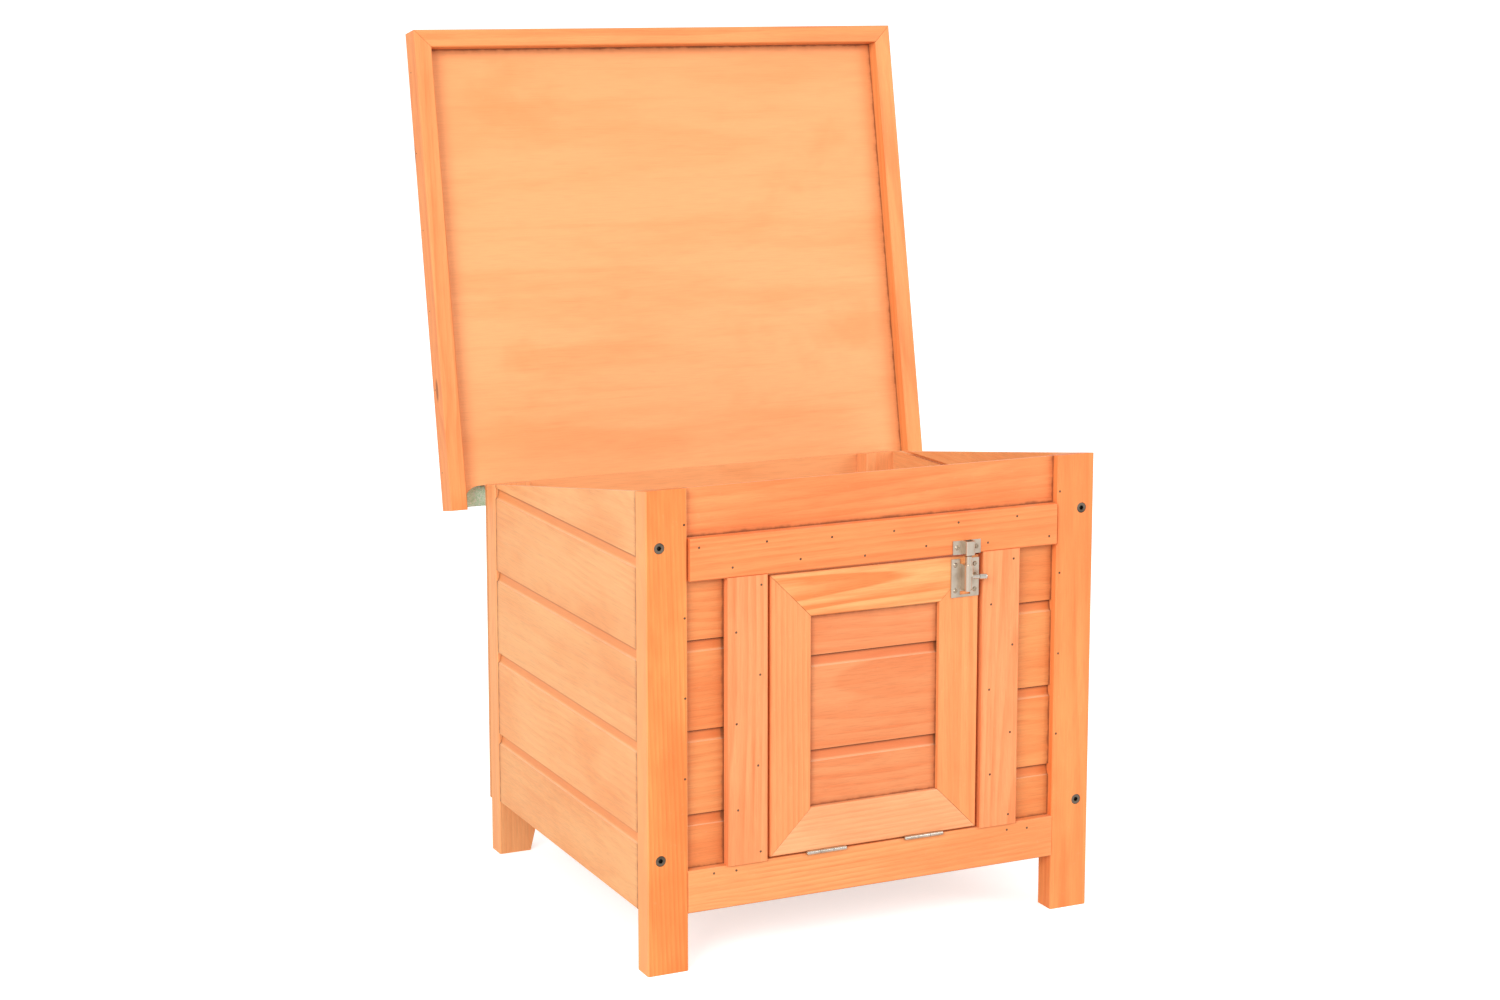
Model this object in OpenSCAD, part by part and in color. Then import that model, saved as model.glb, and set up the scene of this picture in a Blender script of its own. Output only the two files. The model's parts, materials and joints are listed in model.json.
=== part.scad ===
// Small wooden rabbit hutch on four legs: boarded walls, a drop-down ramp door with a barrel bolt,
// and a felt-covered lid hinged along the rear. Modelled with the lid open and the door shut.

/* [Overall] */
// Width over the posts
hutch_width = 430; // [360:1:560]
// Depth over the posts and the back panel
hutch_depth = 384; // [320:1:500]
// Height of the front posts at their front face
front_height = 414.5; // [345:0.5:500]
// Height of the back panel at its rear face
rear_height = 355; // [300:0.5:400]

/* [Posts and rails] */
// Width of a post, seen from the front
post_width = 37; // [30:0.5:46]
// Thickness of a post, front to back
post_thick = 22; // [18:0.5:27]
// Chamfer along the edges of the sawn timber
edge_ease = 1; // [0.4:0.1:1.6]
// Height of the bottom rails above the ground
rail_bottom = 50; // [40:1:60]
// Height of a bottom rail
rail_height = 37; // [30:0.5:44]
// How far the foot of a rear post narrows
foot_taper = 6; // [0:0.5:8]
// Height of the narrowed part of that foot
foot_taper_height = 24; // [10:1:28]
// Thickness of the plywood back panel
back_thick = 4; // [3:0.5:6]

/* [Wall boards] */
// Thickness of a wall board
board_thick = 7; // [6:0.5:9]
// Height of wall that one board covers
board_cover = 79; // [65:0.5:95]
// Height of the lowest joint in the side walls
side_joint = 119.5; // [105:0.5:130]
// Height of the side walls' lower edge
wall_bottom = 52.5; // [42:0.5:62]
// Height of the hollow along a board's top edge
cove_height = 9; // [6:0.5:11]
// Depth of that hollow
cove_depth = 3; // [2:0.1:3.2]
// Open joint between two boards
board_gap = 1.4; // [0.8:0.1:2]
// Height of the tongue behind a joint
tongue_height = 6; // [4:0.5:8]
// Clearance round a tongue
tongue_clear = 0.3; // [0.2:0.05:0.5]
// Gap between the ends of the side boards and the front posts
end_gap = 0.8; // [0.3:0.1:1.5]
// How far the side boards lie behind the posts' outer faces
side_recess = 0.6; // [0.2:0.1:1.5]

/* [Front] */
// Width of the clear doorway
doorway_width = 207.4; // [170:0.2:250]
// Sideways offset of the doorway from the middle
doorway_shift = -1.2; // [-8:0.2:8]
// Width of the upright trims beside the doorway
trim_width = 37; // [30:0.5:44]
// Thickness of the trims and the header
trim_thick = 10; // [8:0.5:12]
// How far the trims stand in front of the posts
trim_proud = 2.5; // [1.5:0.1:4]
// Height of the header's lower edge
header_bottom = 335.9; // [300:0.1:360]
// Height of the header
header_height = 36; // [30:0.5:42]
// Gap between the header and a post
header_gap = 1.5; // [0.5:0.1:2.5]
// Height of the lower edges of the front boards, from the top one down
front_joints = [363.5, 284, 206.5, 134]; // [100:0.5:372]
// Height of the fine joint line in the lowest front boards
filler_line = 124.3; // [115:0.1:128]

/* [Door] */
// Gap between the door and each trim
door_side_gap = 3.2; // [2:0.1:5]
// Gap under the door
door_bottom_gap = 1.7; // [1.5:0.1:2.5]
// Gap over the door
door_top_gap = 2.5; // [1.5:0.1:4]
// Thickness of the door's frame
door_thick = 15; // [13:0.5:18]
// Width of the door's frame members
door_member = 38.5; // [30:0.5:44]
// How far the door's boards lie behind its frame
door_recess = 5; // [3:0.5:6]
// Length of the boards' ends that the frame covers
door_lap = 7; // [5:0.5:10]
// Height of the joints between the door's boards
door_joints = [176.6, 259.8]; // [140:0.1:300]
// Half of the gap in a mitre
mitre_gap = 0.2; // [0.1:0.05:0.4]
// Length of a door hinge
door_hinge_length = 37; // [30:0.5:46]
// Distance from the door's side to its hinge
door_hinge_inset = 34.5; // [20:0.5:40]

/* [Barrel bolt] */
// Distance from the door's right side to the bolt's centre line
bolt_inset = 14.2; // [13.9:0.1:18]
// Radius of the sliding rod
rod_r = 3; // [2.5:0.1:3.5]
// Height of the bolt's plate
bolt_plate_height = 34; // [30:0.5:40]
// Width of the bolt's plate and the keeper
bolt_plate_width = 27.4; // [24:0.2:28]
// Height of the plate's lower edge
bolt_plate_bottom = 297.5; // [280:0.5:299]
// Height of the knob at rest
knob_height = 316.3; // [314:0.1:318]
// How far the bolt slides
bolt_travel = 10.5; // [8:0.5:11]
// Length of the knob from the rod's axis
knob_reach = 16.7; // [14:0.1:20]
// Angle of the knob, from the right towards the front
knob_angle = 15; // [5:1:40]

/* [Lid] */
// Overhang of the lid past each side
lid_side_overhang = 37.5; // [30:0.5:45]
// Overhang of the lid past the front posts
lid_front_overhang = 42; // [32:0.5:50]
// Overhang of the side battens past the hinged edge
lid_tail = 21.5; // [12:0.5:26]
// Lean of the open lid past vertical
lid_lean = 10.7; // [4:0.1:18]
// Width of the battens under the lid's edge
batten_width = 16.5; // [13:0.5:20]
// How far the battens reach below the lid's panel
batten_drop = 15; // [10:0.5:20]
// Thickness of the lid's panel
lid_panel_thick = 11; // [9:0.5:14]
// Thickness of the roofing felt
felt_thick = 2; // [1.5:0.1:3]
// Distance from the lid's edge to the felt
felt_inset = 2; // [1:0.5:5]
// Corner radius of the cut-out along the lid's hinged edge
notch_r = 17; // [10:0.5:20]
// Gap between the shut lid and the tops of the walls
lid_gap = 0.5; // [0.4:0.1:1]
// Length of a lid hinge
lid_hinge_length = 33; // [28:0.5:36]
// Distance from the hutch's side to the lid hinge
lid_hinge_inset = 2; // [1:0.5:6]
// Distance from the back panel to the hinge pin
pin_back = 3; // [3:0.1:4]
// Depth of the hinge pin below the top of the back panel
pin_drop = 5; // [4:0.1:7]

/* [Floor] */
// Thickness of the floor panel
floor_thick = 6; // [4:0.5:9]
// Width and height of the floor bearers and the corner cleats
bearer_size = 16; // [12:0.5:20]
// Gap round the edge of the floor
floor_gap = 0.5; // [0.3:0.1:2]

/* [Hidden] */
$fn = 48;

PINE = [1.0, 0.67, 0.44];
PINE_DEEP = [1.0, 0.62, 0.36];
PLYWOOD = [1.0, 0.74, 0.52];
FELT = [0.75, 0.85, 0.68];
NICKEL = [0.78, 0.75, 0.66];
DARK_STEEL = [0.25, 0.26, 0.26];

// Enough to carry a cut clear through a face.
through = 1;

// Timber faces and heights
rear_post_front = hutch_depth - back_thick - post_thick;
rail_top = rail_bottom + rail_height;
trim_front = -trim_proud;
board_face = trim_front + trim_thick;
roof_angle = atan((front_height - rear_height) / hutch_depth);

function roof_z(y) = front_height - y * tan(roof_angle);

// Doorway and door
doorway_left = (hutch_width - doorway_width) / 2 + doorway_shift;
doorway_right = doorway_left + doorway_width;
door_left = doorway_left + door_side_gap;
door_right = doorway_right - door_side_gap;
door_width = door_right - door_left;
door_bottom = rail_top + door_bottom_gap;
door_top = header_bottom - door_top_gap;
door_height = door_top - door_bottom;

// Butt hinges
hinge_clear = 0.3;
hinge_bore_clear = 0.06;
door_leaf_thick = 0.7;
door_leaf_width = 13;
door_knuckle_r = 1.8;
door_pin_r = 0.8;
door_pin_y = -1.5;
door_pin_z = rail_top + door_bottom_gap / 2;
lid_leaf_thick = 1.5;
lid_wall_leaf_width = 18;
lid_knuckle_r = 2.7;
lid_pin_r = 1.3;
lid_pin_y = hutch_depth + pin_back;
lid_pin_z = rear_height - pin_drop;
pin_head_thick = 0.6;
pin_head_extra_r = 0.5;
leaf_step = 1.5;

// Where the lid's panel lies, measured from the hinge pin along and across the lid
pin_to_edge = pin_back * cos(roof_angle) + (pin_drop + lid_gap) * sin(roof_angle);
pin_to_panel = (pin_drop + lid_gap) * cos(roof_angle) - pin_back * sin(roof_angle);
lid_left = -lid_side_overhang;
lid_width = hutch_width + 2 * lid_side_overhang;
lid_front = (hutch_depth + lid_front_overhang) / cos(roof_angle);
lid_frame_height = batten_drop + lid_panel_thick;
lid_outside = pin_to_panel + lid_panel_thick;
notch_strip = 1.5;

// Barrel bolt: a pressed plate with a raised barrel, the rod and the knob
plate_thick = 1;
barrel_wall = 1.1;
rod_clear = 0.08;
keeper_clear = 0.35;
keeper_height = 12.2;
bolt_x = door_right - bolt_inset;
rod_y = trim_front - plate_thick - keeper_clear - rod_r;
barrel_r = rod_r + rod_clear + barrel_wall;
barrel_bottom = bolt_plate_bottom + 6.5;
barrel_top = bolt_plate_bottom + 29.5;
window_bottom = barrel_bottom + 1.2;
window_top = knob_height + 0.5;
rod_bottom = barrel_bottom + 1.5;
rod_tip = header_bottom - 0.6;
knob_tip_r = 2.5;
knob_stem_r = 1.4;
slot_half = knob_stem_r + 0.5;
bolt_screw_x = 9.6;

// Screws
screw_head_r = 2.2;
screw_shank_r = 1.1;
screw_head_rise = 0.8;
screw_length = 9;
cross_slot = 0.5;
post_bolt_inset = 12;
post_bolt_heights = [99.5, 366];
post_bolt_head_r = 4.4;
post_bolt_sunk = 0.4;
post_bolt_head = 3;
post_bolt_shank_r = 2.5;

// Floor
bearer_bottom = rail_bottom + 3;
floor_bottom = bearer_bottom + bearer_size;
wall_inside = side_recess + board_thick;
rear_cleat_top = rear_height - 40;

// The origin lies on the ground under the middle of the whole part, lid open.
frontmost = rod_y - knob_reach * sin(knob_angle) - knob_tip_r * cos(knob_angle);
rearmost = lid_pin_y + (pin_to_edge + lid_front - felt_inset) * sin(lid_lean)
    + (lid_outside + felt_thick) * cos(lid_lean);

module place() {
    translate([-hutch_width / 2, -(frontmost + rearmost) / 2, 0])
        children();
}

// ---- Timber helpers ----

function eased(w, h) = [
    [edge_ease, 0], [w - edge_ease, 0], [w, edge_ease], [w, h - edge_ease],
    [w - edge_ease, h], [edge_ease, h], [0, h - edge_ease], [0, edge_ease]
];

// Bars with eased long edges, running along X, Y or Z from the corner at the origin.
module bar_x(size) {
    rotate([90, 0, 90])
        linear_extrude(size[0])
            polygon(eased(size[1], size[2]));
}

module bar_y(size) {
    translate([0, size[1], 0])
        rotate([90, 0, 0])
            linear_extrude(size[1])
                polygon(eased(size[0], size[2]));
}

module bar_z(size) {
    linear_extrude(size[2])
        polygon(eased(size[0], size[1]));
}

// Everything below the sloping plane of the wall tops.
module below_roof() {
    reach = 60;
    intersection() {
        children();
        translate([-reach, 0, 0])
            rotate([90, 0, 90])
                linear_extrude(hutch_width + 2 * reach)
                    polygon([
                        [-reach, -through], [hutch_depth + reach, -through],
                        [hutch_depth + reach, roof_z(hutch_depth + reach)], [-reach, roof_z(-reach)]
                    ]);
    }
}

// Quarter-round hollow along a board's top outer edge, from the face up to the joint.
function cove(h) = [for (a = [90:-15:0]) [cove_depth * cos(a), h - cove_height * sin(a)]];

// Cross-section of a wall board: x runs inwards from its outer face, y runs up from its lower edge.
function board_outline(h, thick, tongue, rebate) = concat(
    [[0, 0]],
    tongue ? concat(cove(h), [
        [cove_depth + tongue_clear, h],
        [cove_depth + tongue_clear, h + tongue_height], [thick, h + tongue_height]
    ]) : [[0, h], [thick, h]],
    rebate ? [
        [thick, board_gap + tongue_height + tongue_clear],
        [cove_depth, board_gap + tongue_height + tongue_clear], [cove_depth, 0]
    ] : [[thick, 0]]
);

// A board along X with its outer face towards -Y.
module board_x(x0, x1, face, z0, z1, tongue, rebate, thick = board_thick) {
    translate([x0, face, z0])
        rotate([90, 0, 90])
            linear_extrude(x1 - x0)
                polygon(board_outline(z1 - z0 - (tongue ? board_gap : 0), thick, tongue, rebate));
}

// A side board along Y with its outer face towards -X.
module board_y(z0, z1, tongue, rebate) {
    y0 = post_thick + end_gap;
    translate([side_recess, rear_post_front, z0])
        rotate([90, 0, 0])
            linear_extrude(rear_post_front - y0)
                polygon(board_outline(z1 - z0 - (tongue ? board_gap : 0), board_thick, tongue, rebate));
}

module mirror_right() {
    translate([hutch_width, 0, 0])
        mirror([1, 0, 0])
            children();
}

// ---- Screws and hinges ----

// Cross recess cut down into a head whose top is at z = 0.
module cross_recess(r, depth) {
    for (a = [0, 90])
        rotate([0, 0, a])
            translate([-r, -cross_slot / 2, -depth])
                cube([2 * r, cross_slot, depth + through]);
}

// Round-headed screw: the head rises above z = 0 and the shank goes down.
module pan_screw() {
    difference() {
        union() {
            cylinder(r1 = screw_head_r, r2 = screw_head_r * 0.7, h = screw_head_rise);
            translate([0, 0, -screw_length])
                cylinder(r = screw_shank_r, h = screw_length + screw_head_rise / 2);
        }
        translate([0, 0, screw_head_rise])
            cross_recess(screw_head_r * 0.55, 0.5);
    }
}

// Flush screw for a leaf of the given thickness: its head fills the countersink.
module flush_screw(thick, length = screw_length) {
    translate([0, 0, -thick])
        cylinder(r1 = screw_shank_r, r2 = screw_head_r, h = thick);
    translate([0, 0, -length])
        cylinder(r = screw_shank_r, h = length - thick);
}

module countersink(thick) {
    clear = 0.1;
    translate([0, 0, -thick])
        cylinder(r1 = screw_shank_r + clear, r2 = screw_head_r + clear, h = thick);
    translate([0, 0, -thick - through])
        cylinder(r = screw_shank_r + clear, h = thick + 2 * through);
    cylinder(r = screw_head_r + clear, h = through);
}

// The stretches of a hinge's barrel that one leaf owns.
function knuckle_spans(length, middle) = let (third = length / 3, g = hinge_clear / 2)
    middle ? [[third + g, 2 * third - g]] : [[0, third - g], [2 * third + g, length]];

function screw_stations(length) = [length * 0.2, length * 0.8];

// Hinge leaf: the pin lies along X at the origin, the leaf runs out along +Y. Its plate spans z0 to
// z0 + thick beyond the relief, and tabs at tab_z0 join it to the knuckles.
module hinge_leaf(length, width, z0, tab_z0, thick, relief, knuckle_r, bore_r, middle, sink_up) {
    low = min(z0, tab_z0);
    high = max(z0, tab_z0) + thick;
    hole_y = (relief + width) / 2 + leaf_step / 2;
    difference() {
        union() {
            translate([0, relief, z0])
                cube([length, width - relief, thick]);
            for (span = knuckle_spans(length, middle)) {
                translate([span[0], 0, tab_z0])
                    cube([span[1] - span[0], relief + leaf_step, thick]);
                translate([span[0], relief, low])
                    cube([span[1] - span[0], leaf_step, high - low]);
                translate([span[0], 0, 0])
                    rotate([0, 90, 0])
                        cylinder(r = knuckle_r, h = span[1] - span[0]);
            }
        }
        translate([-through, 0, 0])
            rotate([0, 90, 0])
                cylinder(r = bore_r, h = length + 2 * through);
        for (x = screw_stations(length))
            translate([x, hole_y, sink_up ? z0 + thick : z0])
                rotate([sink_up ? 0 : 180, 0, 0])
                    countersink(thick);
    }
}

// The screws that belong in such a leaf.
module leaf_screws(length, width, z0, thick, relief, sink_up) {
    hole_y = (relief + width) / 2 + leaf_step / 2;
    for (x = screw_stations(length))
        translate([x, hole_y, sink_up ? z0 + thick : z0])
            rotate([sink_up ? 0 : 180, 0, 0])
                flush_screw(thick);
}

// Pin with a flat head at each end, lying along X from the origin.
module headed_pin(length, r) {
    rotate([0, 90, 0]) {
        cylinder(r = r, h = length);
        translate([0, 0, -pin_head_thick])
            cylinder(r = r + pin_head_extra_r, h = pin_head_thick);
        translate([0, 0, length])
            cylinder(r = r + pin_head_extra_r, h = pin_head_thick);
    }
}

// ---- Posts and rails ----

module bolt_hole(z) {
    translate([post_bolt_inset, post_bolt_sunk + post_bolt_head, z])
        rotate([90, 0, 0])
            cylinder(r = post_bolt_head_r + 0.3, h = post_bolt_sunk + post_bolt_head + through);
}

module front_post() {
    difference() {
        below_roof()
            bar_z([post_width, post_thick, front_height]);
        for (z = post_bolt_heights)
            bolt_hole(z);
    }
}

module rear_post() {
    difference() {
        below_roof()
            translate([0, rear_post_front, 0])
                bar_z([post_width, post_thick, front_height]);
        translate([0, rear_post_front - through, 0])
            rotate([-90, 0, 0])
                linear_extrude(post_thick + 2 * through)
                    polygon([
                        [post_width - foot_taper, through],
                        [post_width - foot_taper, 0], [post_width, -foot_taper_height],
                        [post_width + through, -foot_taper_height], [post_width + through, through]
                    ]);
    }
}

module post_front_left() {
    place()
        color(PINE_DEEP)
            front_post();
}

module post_front_right() {
    place()
        color(PINE_DEEP)
            mirror_right()
                front_post();
}

module post_rear_left() {
    place()
        color(PINE)
            rear_post();
}

module post_rear_right() {
    place()
        color(PINE)
            mirror_right()
                rear_post();
}

module front_bottom_rail() {
    place()
        color(PINE)
            translate([post_width, 0, rail_bottom])
                bar_x([hutch_width - 2 * post_width, post_thick, rail_height]);
}

module rear_bottom_rail() {
    place()
        color(PINE)
            translate([post_width, rear_post_front, rail_bottom])
                bar_x([hutch_width - 2 * post_width, post_thick, rail_height]);
}

// ---- Front wall ----

module front_header() {
    x0 = post_width + header_gap;
    place()
        color(PINE)
            translate([x0, trim_front, header_bottom])
                bar_x([hutch_width - 2 * x0, trim_thick, header_height]);
}

module trim_bar() {
    bar_z([trim_width, trim_thick, header_bottom - rail_top]);
}

module trim_left() {
    place()
        color(PINE)
            translate([doorway_left - trim_width, trim_front, rail_top])
                trim_bar();
}

module trim_right() {
    place()
        color(PINE)
            translate([doorway_right, trim_front, rail_top])
                trim_bar();
}

module front_top_board() {
    place()
        color(PINE_DEEP)
            below_roof()
                board_x(post_width, hutch_width - post_width, board_face, front_joints[0],
                    front_height, false, true);
}

// Course n counts down from the header; the last one stands on the bottom rail.
module front_board(n, x0, x1) {
    last = len(front_joints) - 1;
    z1 = front_joints[n - 1];
    z0 = n > last ? rail_top : front_joints[n];
    difference() {
        board_x(x0, x1, board_face, z0, z1, true, n <= last);
        if (n > last)
            translate([x0 - through, board_face - through, filler_line])
                cube([x1 - x0 + 2 * through, through + cove_depth / 2, board_gap / 2]);
    }
}

module front_left_board(n) {
    place()
        color(PINE)
            front_board(n, post_width, doorway_left);
}

module front_right_board(n) {
    place()
        color(PINE)
            front_board(n, doorway_right, hutch_width - post_width);
}

// ---- Side walls: board 1 is the lowest and board 5 the wedge under the roof line ----

function side_course(n) = n == 0 ? wall_bottom : side_joint + (n - 1) * board_cover;

module side_board(n) {
    top = n == 5;
    below_roof()
        board_y(side_course(n - 1), top ? front_height : side_course(n), !top, n > 1);
}

module left_wall_board(n) {
    place()
        color(PINE)
            side_board(n);
}

module right_wall_board(n) {
    place()
        color(PINE)
            mirror_right()
                side_board(n);
}

// Upright cleats inside a side wall, behind the front post and before the rear post.
module side_cleats() {
    y_rear = rear_post_front - bearer_size;
    below_roof()
        translate([wall_inside, post_thick, floor_bottom + floor_thick])
            bar_z([bearer_size, bearer_size, front_height]);
    translate([wall_inside, y_rear, floor_bottom + floor_thick])
        bar_z([bearer_size, bearer_size, rear_cleat_top - floor_bottom - floor_thick]);
}

module side_cleats_left() {
    place()
        color(PINE)
            side_cleats();
}

module side_cleats_right() {
    place()
        color(PINE)
            mirror_right()
                side_cleats();
}

module back_panel() {
    place()
        color(PLYWOOD)
            below_roof()
                translate([0, hutch_depth - back_thick, rail_bottom])
                    cube([hutch_width, back_thick, front_height]);
}

// ---- Floor ----

module floor_bearers() {
    inner_left = wall_inside;
    inner_right = hutch_width - wall_inside - bearer_size;
    place()
        color(PINE)
            for (x = [inner_left, (inner_left + inner_right) / 2, inner_right])
                translate([x, post_thick, bearer_bottom])
                    bar_y([bearer_size, rear_post_front - post_thick, bearer_size]);
}

module floor_panel() {
    x0 = wall_inside + floor_gap;
    y0 = post_thick + floor_gap;
    place()
        color(PLYWOOD)
            translate([x0, y0, floor_bottom])
                cube([hutch_width - 2 * x0, rear_post_front - floor_gap - y0, floor_thick]);
}

// ---- Fixings on the hutch ----

module post_bolt() {
    rotate([90, 0, 0])
        difference() {
            union() {
                cylinder(r = post_bolt_head_r, h = post_bolt_head);
                translate([0, 0, -post_thick - bearer_size / 2])
                    cylinder(r = post_bolt_shank_r, h = post_thick + bearer_size / 2 + through / 2);
            }
            translate([0, 0, post_bolt_head / 3])
                cylinder(r = post_bolt_head_r * 0.5, h = post_bolt_head, $fn = 6);
        }
}

module post_bolts() {
    place()
        color(DARK_STEEL)
            for (x = [post_bolt_inset, hutch_width - post_bolt_inset], z = post_bolt_heights)
                translate([x, post_bolt_sunk + post_bolt_head, z])
                    post_bolt();
}

lid_hinge_starts = [lid_hinge_inset, hutch_width - lid_hinge_inset - lid_hinge_length];
door_hinge_starts = [door_left + door_hinge_inset, door_right - door_hinge_inset - door_hinge_length];
lid_wall_relief = lid_knuckle_r + hinge_clear;
door_relief = door_knuckle_r + hinge_clear + 0.2;
rail_leaf_z = -door_bottom_gap / 2;
door_leaf_z = door_bottom_gap / 2 - door_leaf_thick;

module at_lid_pin(x) {
    translate([x, lid_pin_y, lid_pin_z])
        children();
}

module at_door_pin(x) {
    translate([x, door_pin_y, door_pin_z])
        children();
}

module lid_hinge_wall_leaves() {
    place()
        color(NICKEL)
            for (x = lid_hinge_starts)
                at_lid_pin(x)
                    rotate([-90, 0, 0])
                        hinge_leaf(lid_hinge_length, lid_wall_leaf_width, -pin_back, -pin_back,
                            lid_leaf_thick, lid_wall_relief, lid_knuckle_r,
                            lid_pin_r + hinge_bore_clear, false, true);
}

module door_hinge_rail_leaves() {
    place()
        color(NICKEL)
            for (x = door_hinge_starts)
                at_door_pin(x)
                    hinge_leaf(door_hinge_length, door_leaf_width, rail_leaf_z, rail_leaf_z,
                        door_leaf_thick, door_relief, door_knuckle_r,
                        door_pin_r + hinge_bore_clear, false, true);
}

module hinge_pins() {
    place()
        color(NICKEL) {
            for (x = lid_hinge_starts)
                at_lid_pin(x)
                    headed_pin(lid_hinge_length, lid_pin_r);
            for (x = door_hinge_starts)
                at_door_pin(x)
                    headed_pin(door_hinge_length, door_pin_r);
        }
}

module hutch_hinge_screws() {
    place()
        color(NICKEL) {
            for (x = lid_hinge_starts)
                at_lid_pin(x)
                    rotate([-90, 0, 0])
                        leaf_screws(lid_hinge_length, lid_wall_leaf_width, -pin_back, lid_leaf_thick,
                            lid_wall_relief, true);
            for (x = door_hinge_starts)
                at_door_pin(x)
                    leaf_screws(door_hinge_length, door_leaf_width, rail_leaf_z, door_leaf_thick,
                        door_relief, true);
        }
}

// A raised barrel round the rod's axis, down to the plate behind it.
module raised_barrel(r, z0, z1, plate_face) {
    translate([bolt_x, rod_y, z0])
        cylinder(r = r, h = z1 - z0);
    translate([bolt_x - r, rod_y, z0])
        cube([2 * r, plate_face - rod_y, z1 - z0]);
}

module keeper_screw_places() {
    for (side = [-1, 1])
        translate([bolt_x + side * bolt_screw_x, trim_front - plate_thick,
            header_bottom + keeper_height / 2])
            rotate([90, 0, 0])
                children();
}

// Plan of the keeper's hoop, seen from above: flat sides and rounded front corners.
module hoop_plan() {
    half = rod_r + keeper_clear + barrel_wall;
    corner_r = 2;
    back = trim_front - plate_thick / 2;
    for (side = [-1, 1])
        translate([bolt_x + side * (half - corner_r), rod_y - half + corner_r])
            circle(r = corner_r);
    translate([bolt_x - half, rod_y - half + corner_r])
        square([2 * half, back - rod_y + half - corner_r]);
    translate([bolt_x - half + corner_r, rod_y - half])
        square([2 * (half - corner_r), corner_r]);
}

// A pressed hoop on a plate; the rod slides up into its flat-sided opening.
module bolt_keeper() {
    opening = rod_r + keeper_clear;
    place()
        color(NICKEL)
            difference() {
                union() {
                    translate([bolt_x - bolt_plate_width / 2, trim_front - plate_thick, header_bottom])
                        cube([bolt_plate_width, plate_thick, keeper_height]);
                    translate([0, 0, header_bottom])
                        linear_extrude(keeper_height)
                            hoop_plan();
                }
                translate([bolt_x - opening, rod_y - opening, header_bottom - through])
                    cube([2 * opening, trim_front - plate_thick - rod_y + opening,
                        keeper_height + 2 * through]);
                keeper_screw_places()
                    cylinder(r = screw_shank_r + 0.1, h = 2 * through + plate_thick, center = true);
            }
}

module keeper_screws() {
    place()
        color(NICKEL)
            keeper_screw_places()
                pan_screw();
}

// ---- Lid: x across, y along the lid from the hinge pin, z towards its underside ----

module in_lid() {
    translate([0, lid_pin_y, lid_pin_z])
        rotate([90 - lid_lean, 0, 0])
            children();
}

// Moves to the rear left corner of the lid's upper face.
module lid_corner() {
    translate([lid_left, pin_to_edge, -lid_outside])
        children();
}

// Plan of a mitred member: the long side lies along X from 0 to length.
module mitred_plan(length, width, cut_start, cut_end) {
    g = mitre_gap;
    polygon([
        [cut_start ? g : 0, 0], [cut_end ? length - g : length, 0],
        [cut_end ? length - width - g : length, width], [cut_start ? width + g : 0, width]
    ]);
}

module lid_side_batten() {
    length = lid_front + lid_tail;
    intersection() {
        translate([0, -lid_tail, 0])
            bar_y([batten_width, length, lid_frame_height]);
        translate([0, -lid_tail, 0])
            rotate([0, 0, 90])
                mirror([0, 1, 0])
                    linear_extrude(lid_frame_height)
                        mitred_plan(length, batten_width, false, true);
    }
}

module lid_batten_left() {
    place()
        color(PINE_DEEP)
            in_lid()
                lid_corner()
                    lid_side_batten();
}

module lid_batten_right() {
    place()
        color(PINE_DEEP)
            mirror_right()
                in_lid()
                    lid_corner()
                        lid_side_batten();
}

module lid_batten_front() {
    place()
        color(PINE_DEEP)
            in_lid()
                lid_corner()
                    intersection() {
                        translate([0, lid_front - batten_width, 0])
                            bar_x([lid_width, batten_width, lid_frame_height]);
                        translate([0, lid_front, 0])
                            mirror([0, 1, 0])
                                linear_extrude(lid_frame_height)
                                    mitred_plan(lid_width, batten_width, true, true);
                    }
}

// The panel's rear corners hang beside the hutch; between them it is cut back to the hinged edge.
module lid_panel() {
    inner_width = lid_width - 2 * batten_width;
    tail = lid_tail - felt_inset;
    far = inner_width - notch_strip;
    place()
        color(PLYWOOD)
            in_lid()
                lid_corner()
                    translate([batten_width, 0, 0])
                        difference() {
                            translate([0, -tail, 0])
                                cube([inner_width, tail + lid_front - batten_width, lid_panel_thick]);
                            translate([notch_strip + notch_r, -tail - through, -through])
                                cube([far - notch_strip - 2 * notch_r, tail + through,
                                    lid_panel_thick + 2 * through]);
                            translate([notch_strip, -tail - through, -through])
                                cube([far - notch_strip, tail + through - notch_r,
                                    lid_panel_thick + 2 * through]);
                            for (x = [notch_strip + notch_r, far - notch_r])
                                translate([x, -notch_r, -through])
                                    cylinder(r = notch_r, h = lid_panel_thick + 2 * through);
                        }
}

module roof_felt() {
    tail = lid_tail - felt_inset;
    place()
        color(FELT)
            in_lid()
                lid_corner()
                    translate([felt_inset, -tail, -felt_thick])
                        cube([lid_width - 2 * felt_inset, tail + lid_front - felt_inset, felt_thick]);
}

lid_relief = pin_to_panel + hinge_clear;
lid_leaf_width = pin_to_panel + lid_panel_thick - 0.5;
lid_leaf_z = pin_to_edge - lid_leaf_thick;
lid_tab_z = lid_knuckle_r - lid_leaf_thick;

module lid_hinge_leaves() {
    place()
        color(NICKEL)
            in_lid()
                for (x = lid_hinge_starts)
                    translate([x, 0, 0])
                        rotate([-90, 0, 0])
                            hinge_leaf(lid_hinge_length, lid_leaf_width, lid_leaf_z, lid_tab_z,
                                lid_leaf_thick, lid_relief, lid_knuckle_r,
                                lid_pin_r + hinge_bore_clear, true, false);
}

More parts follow.
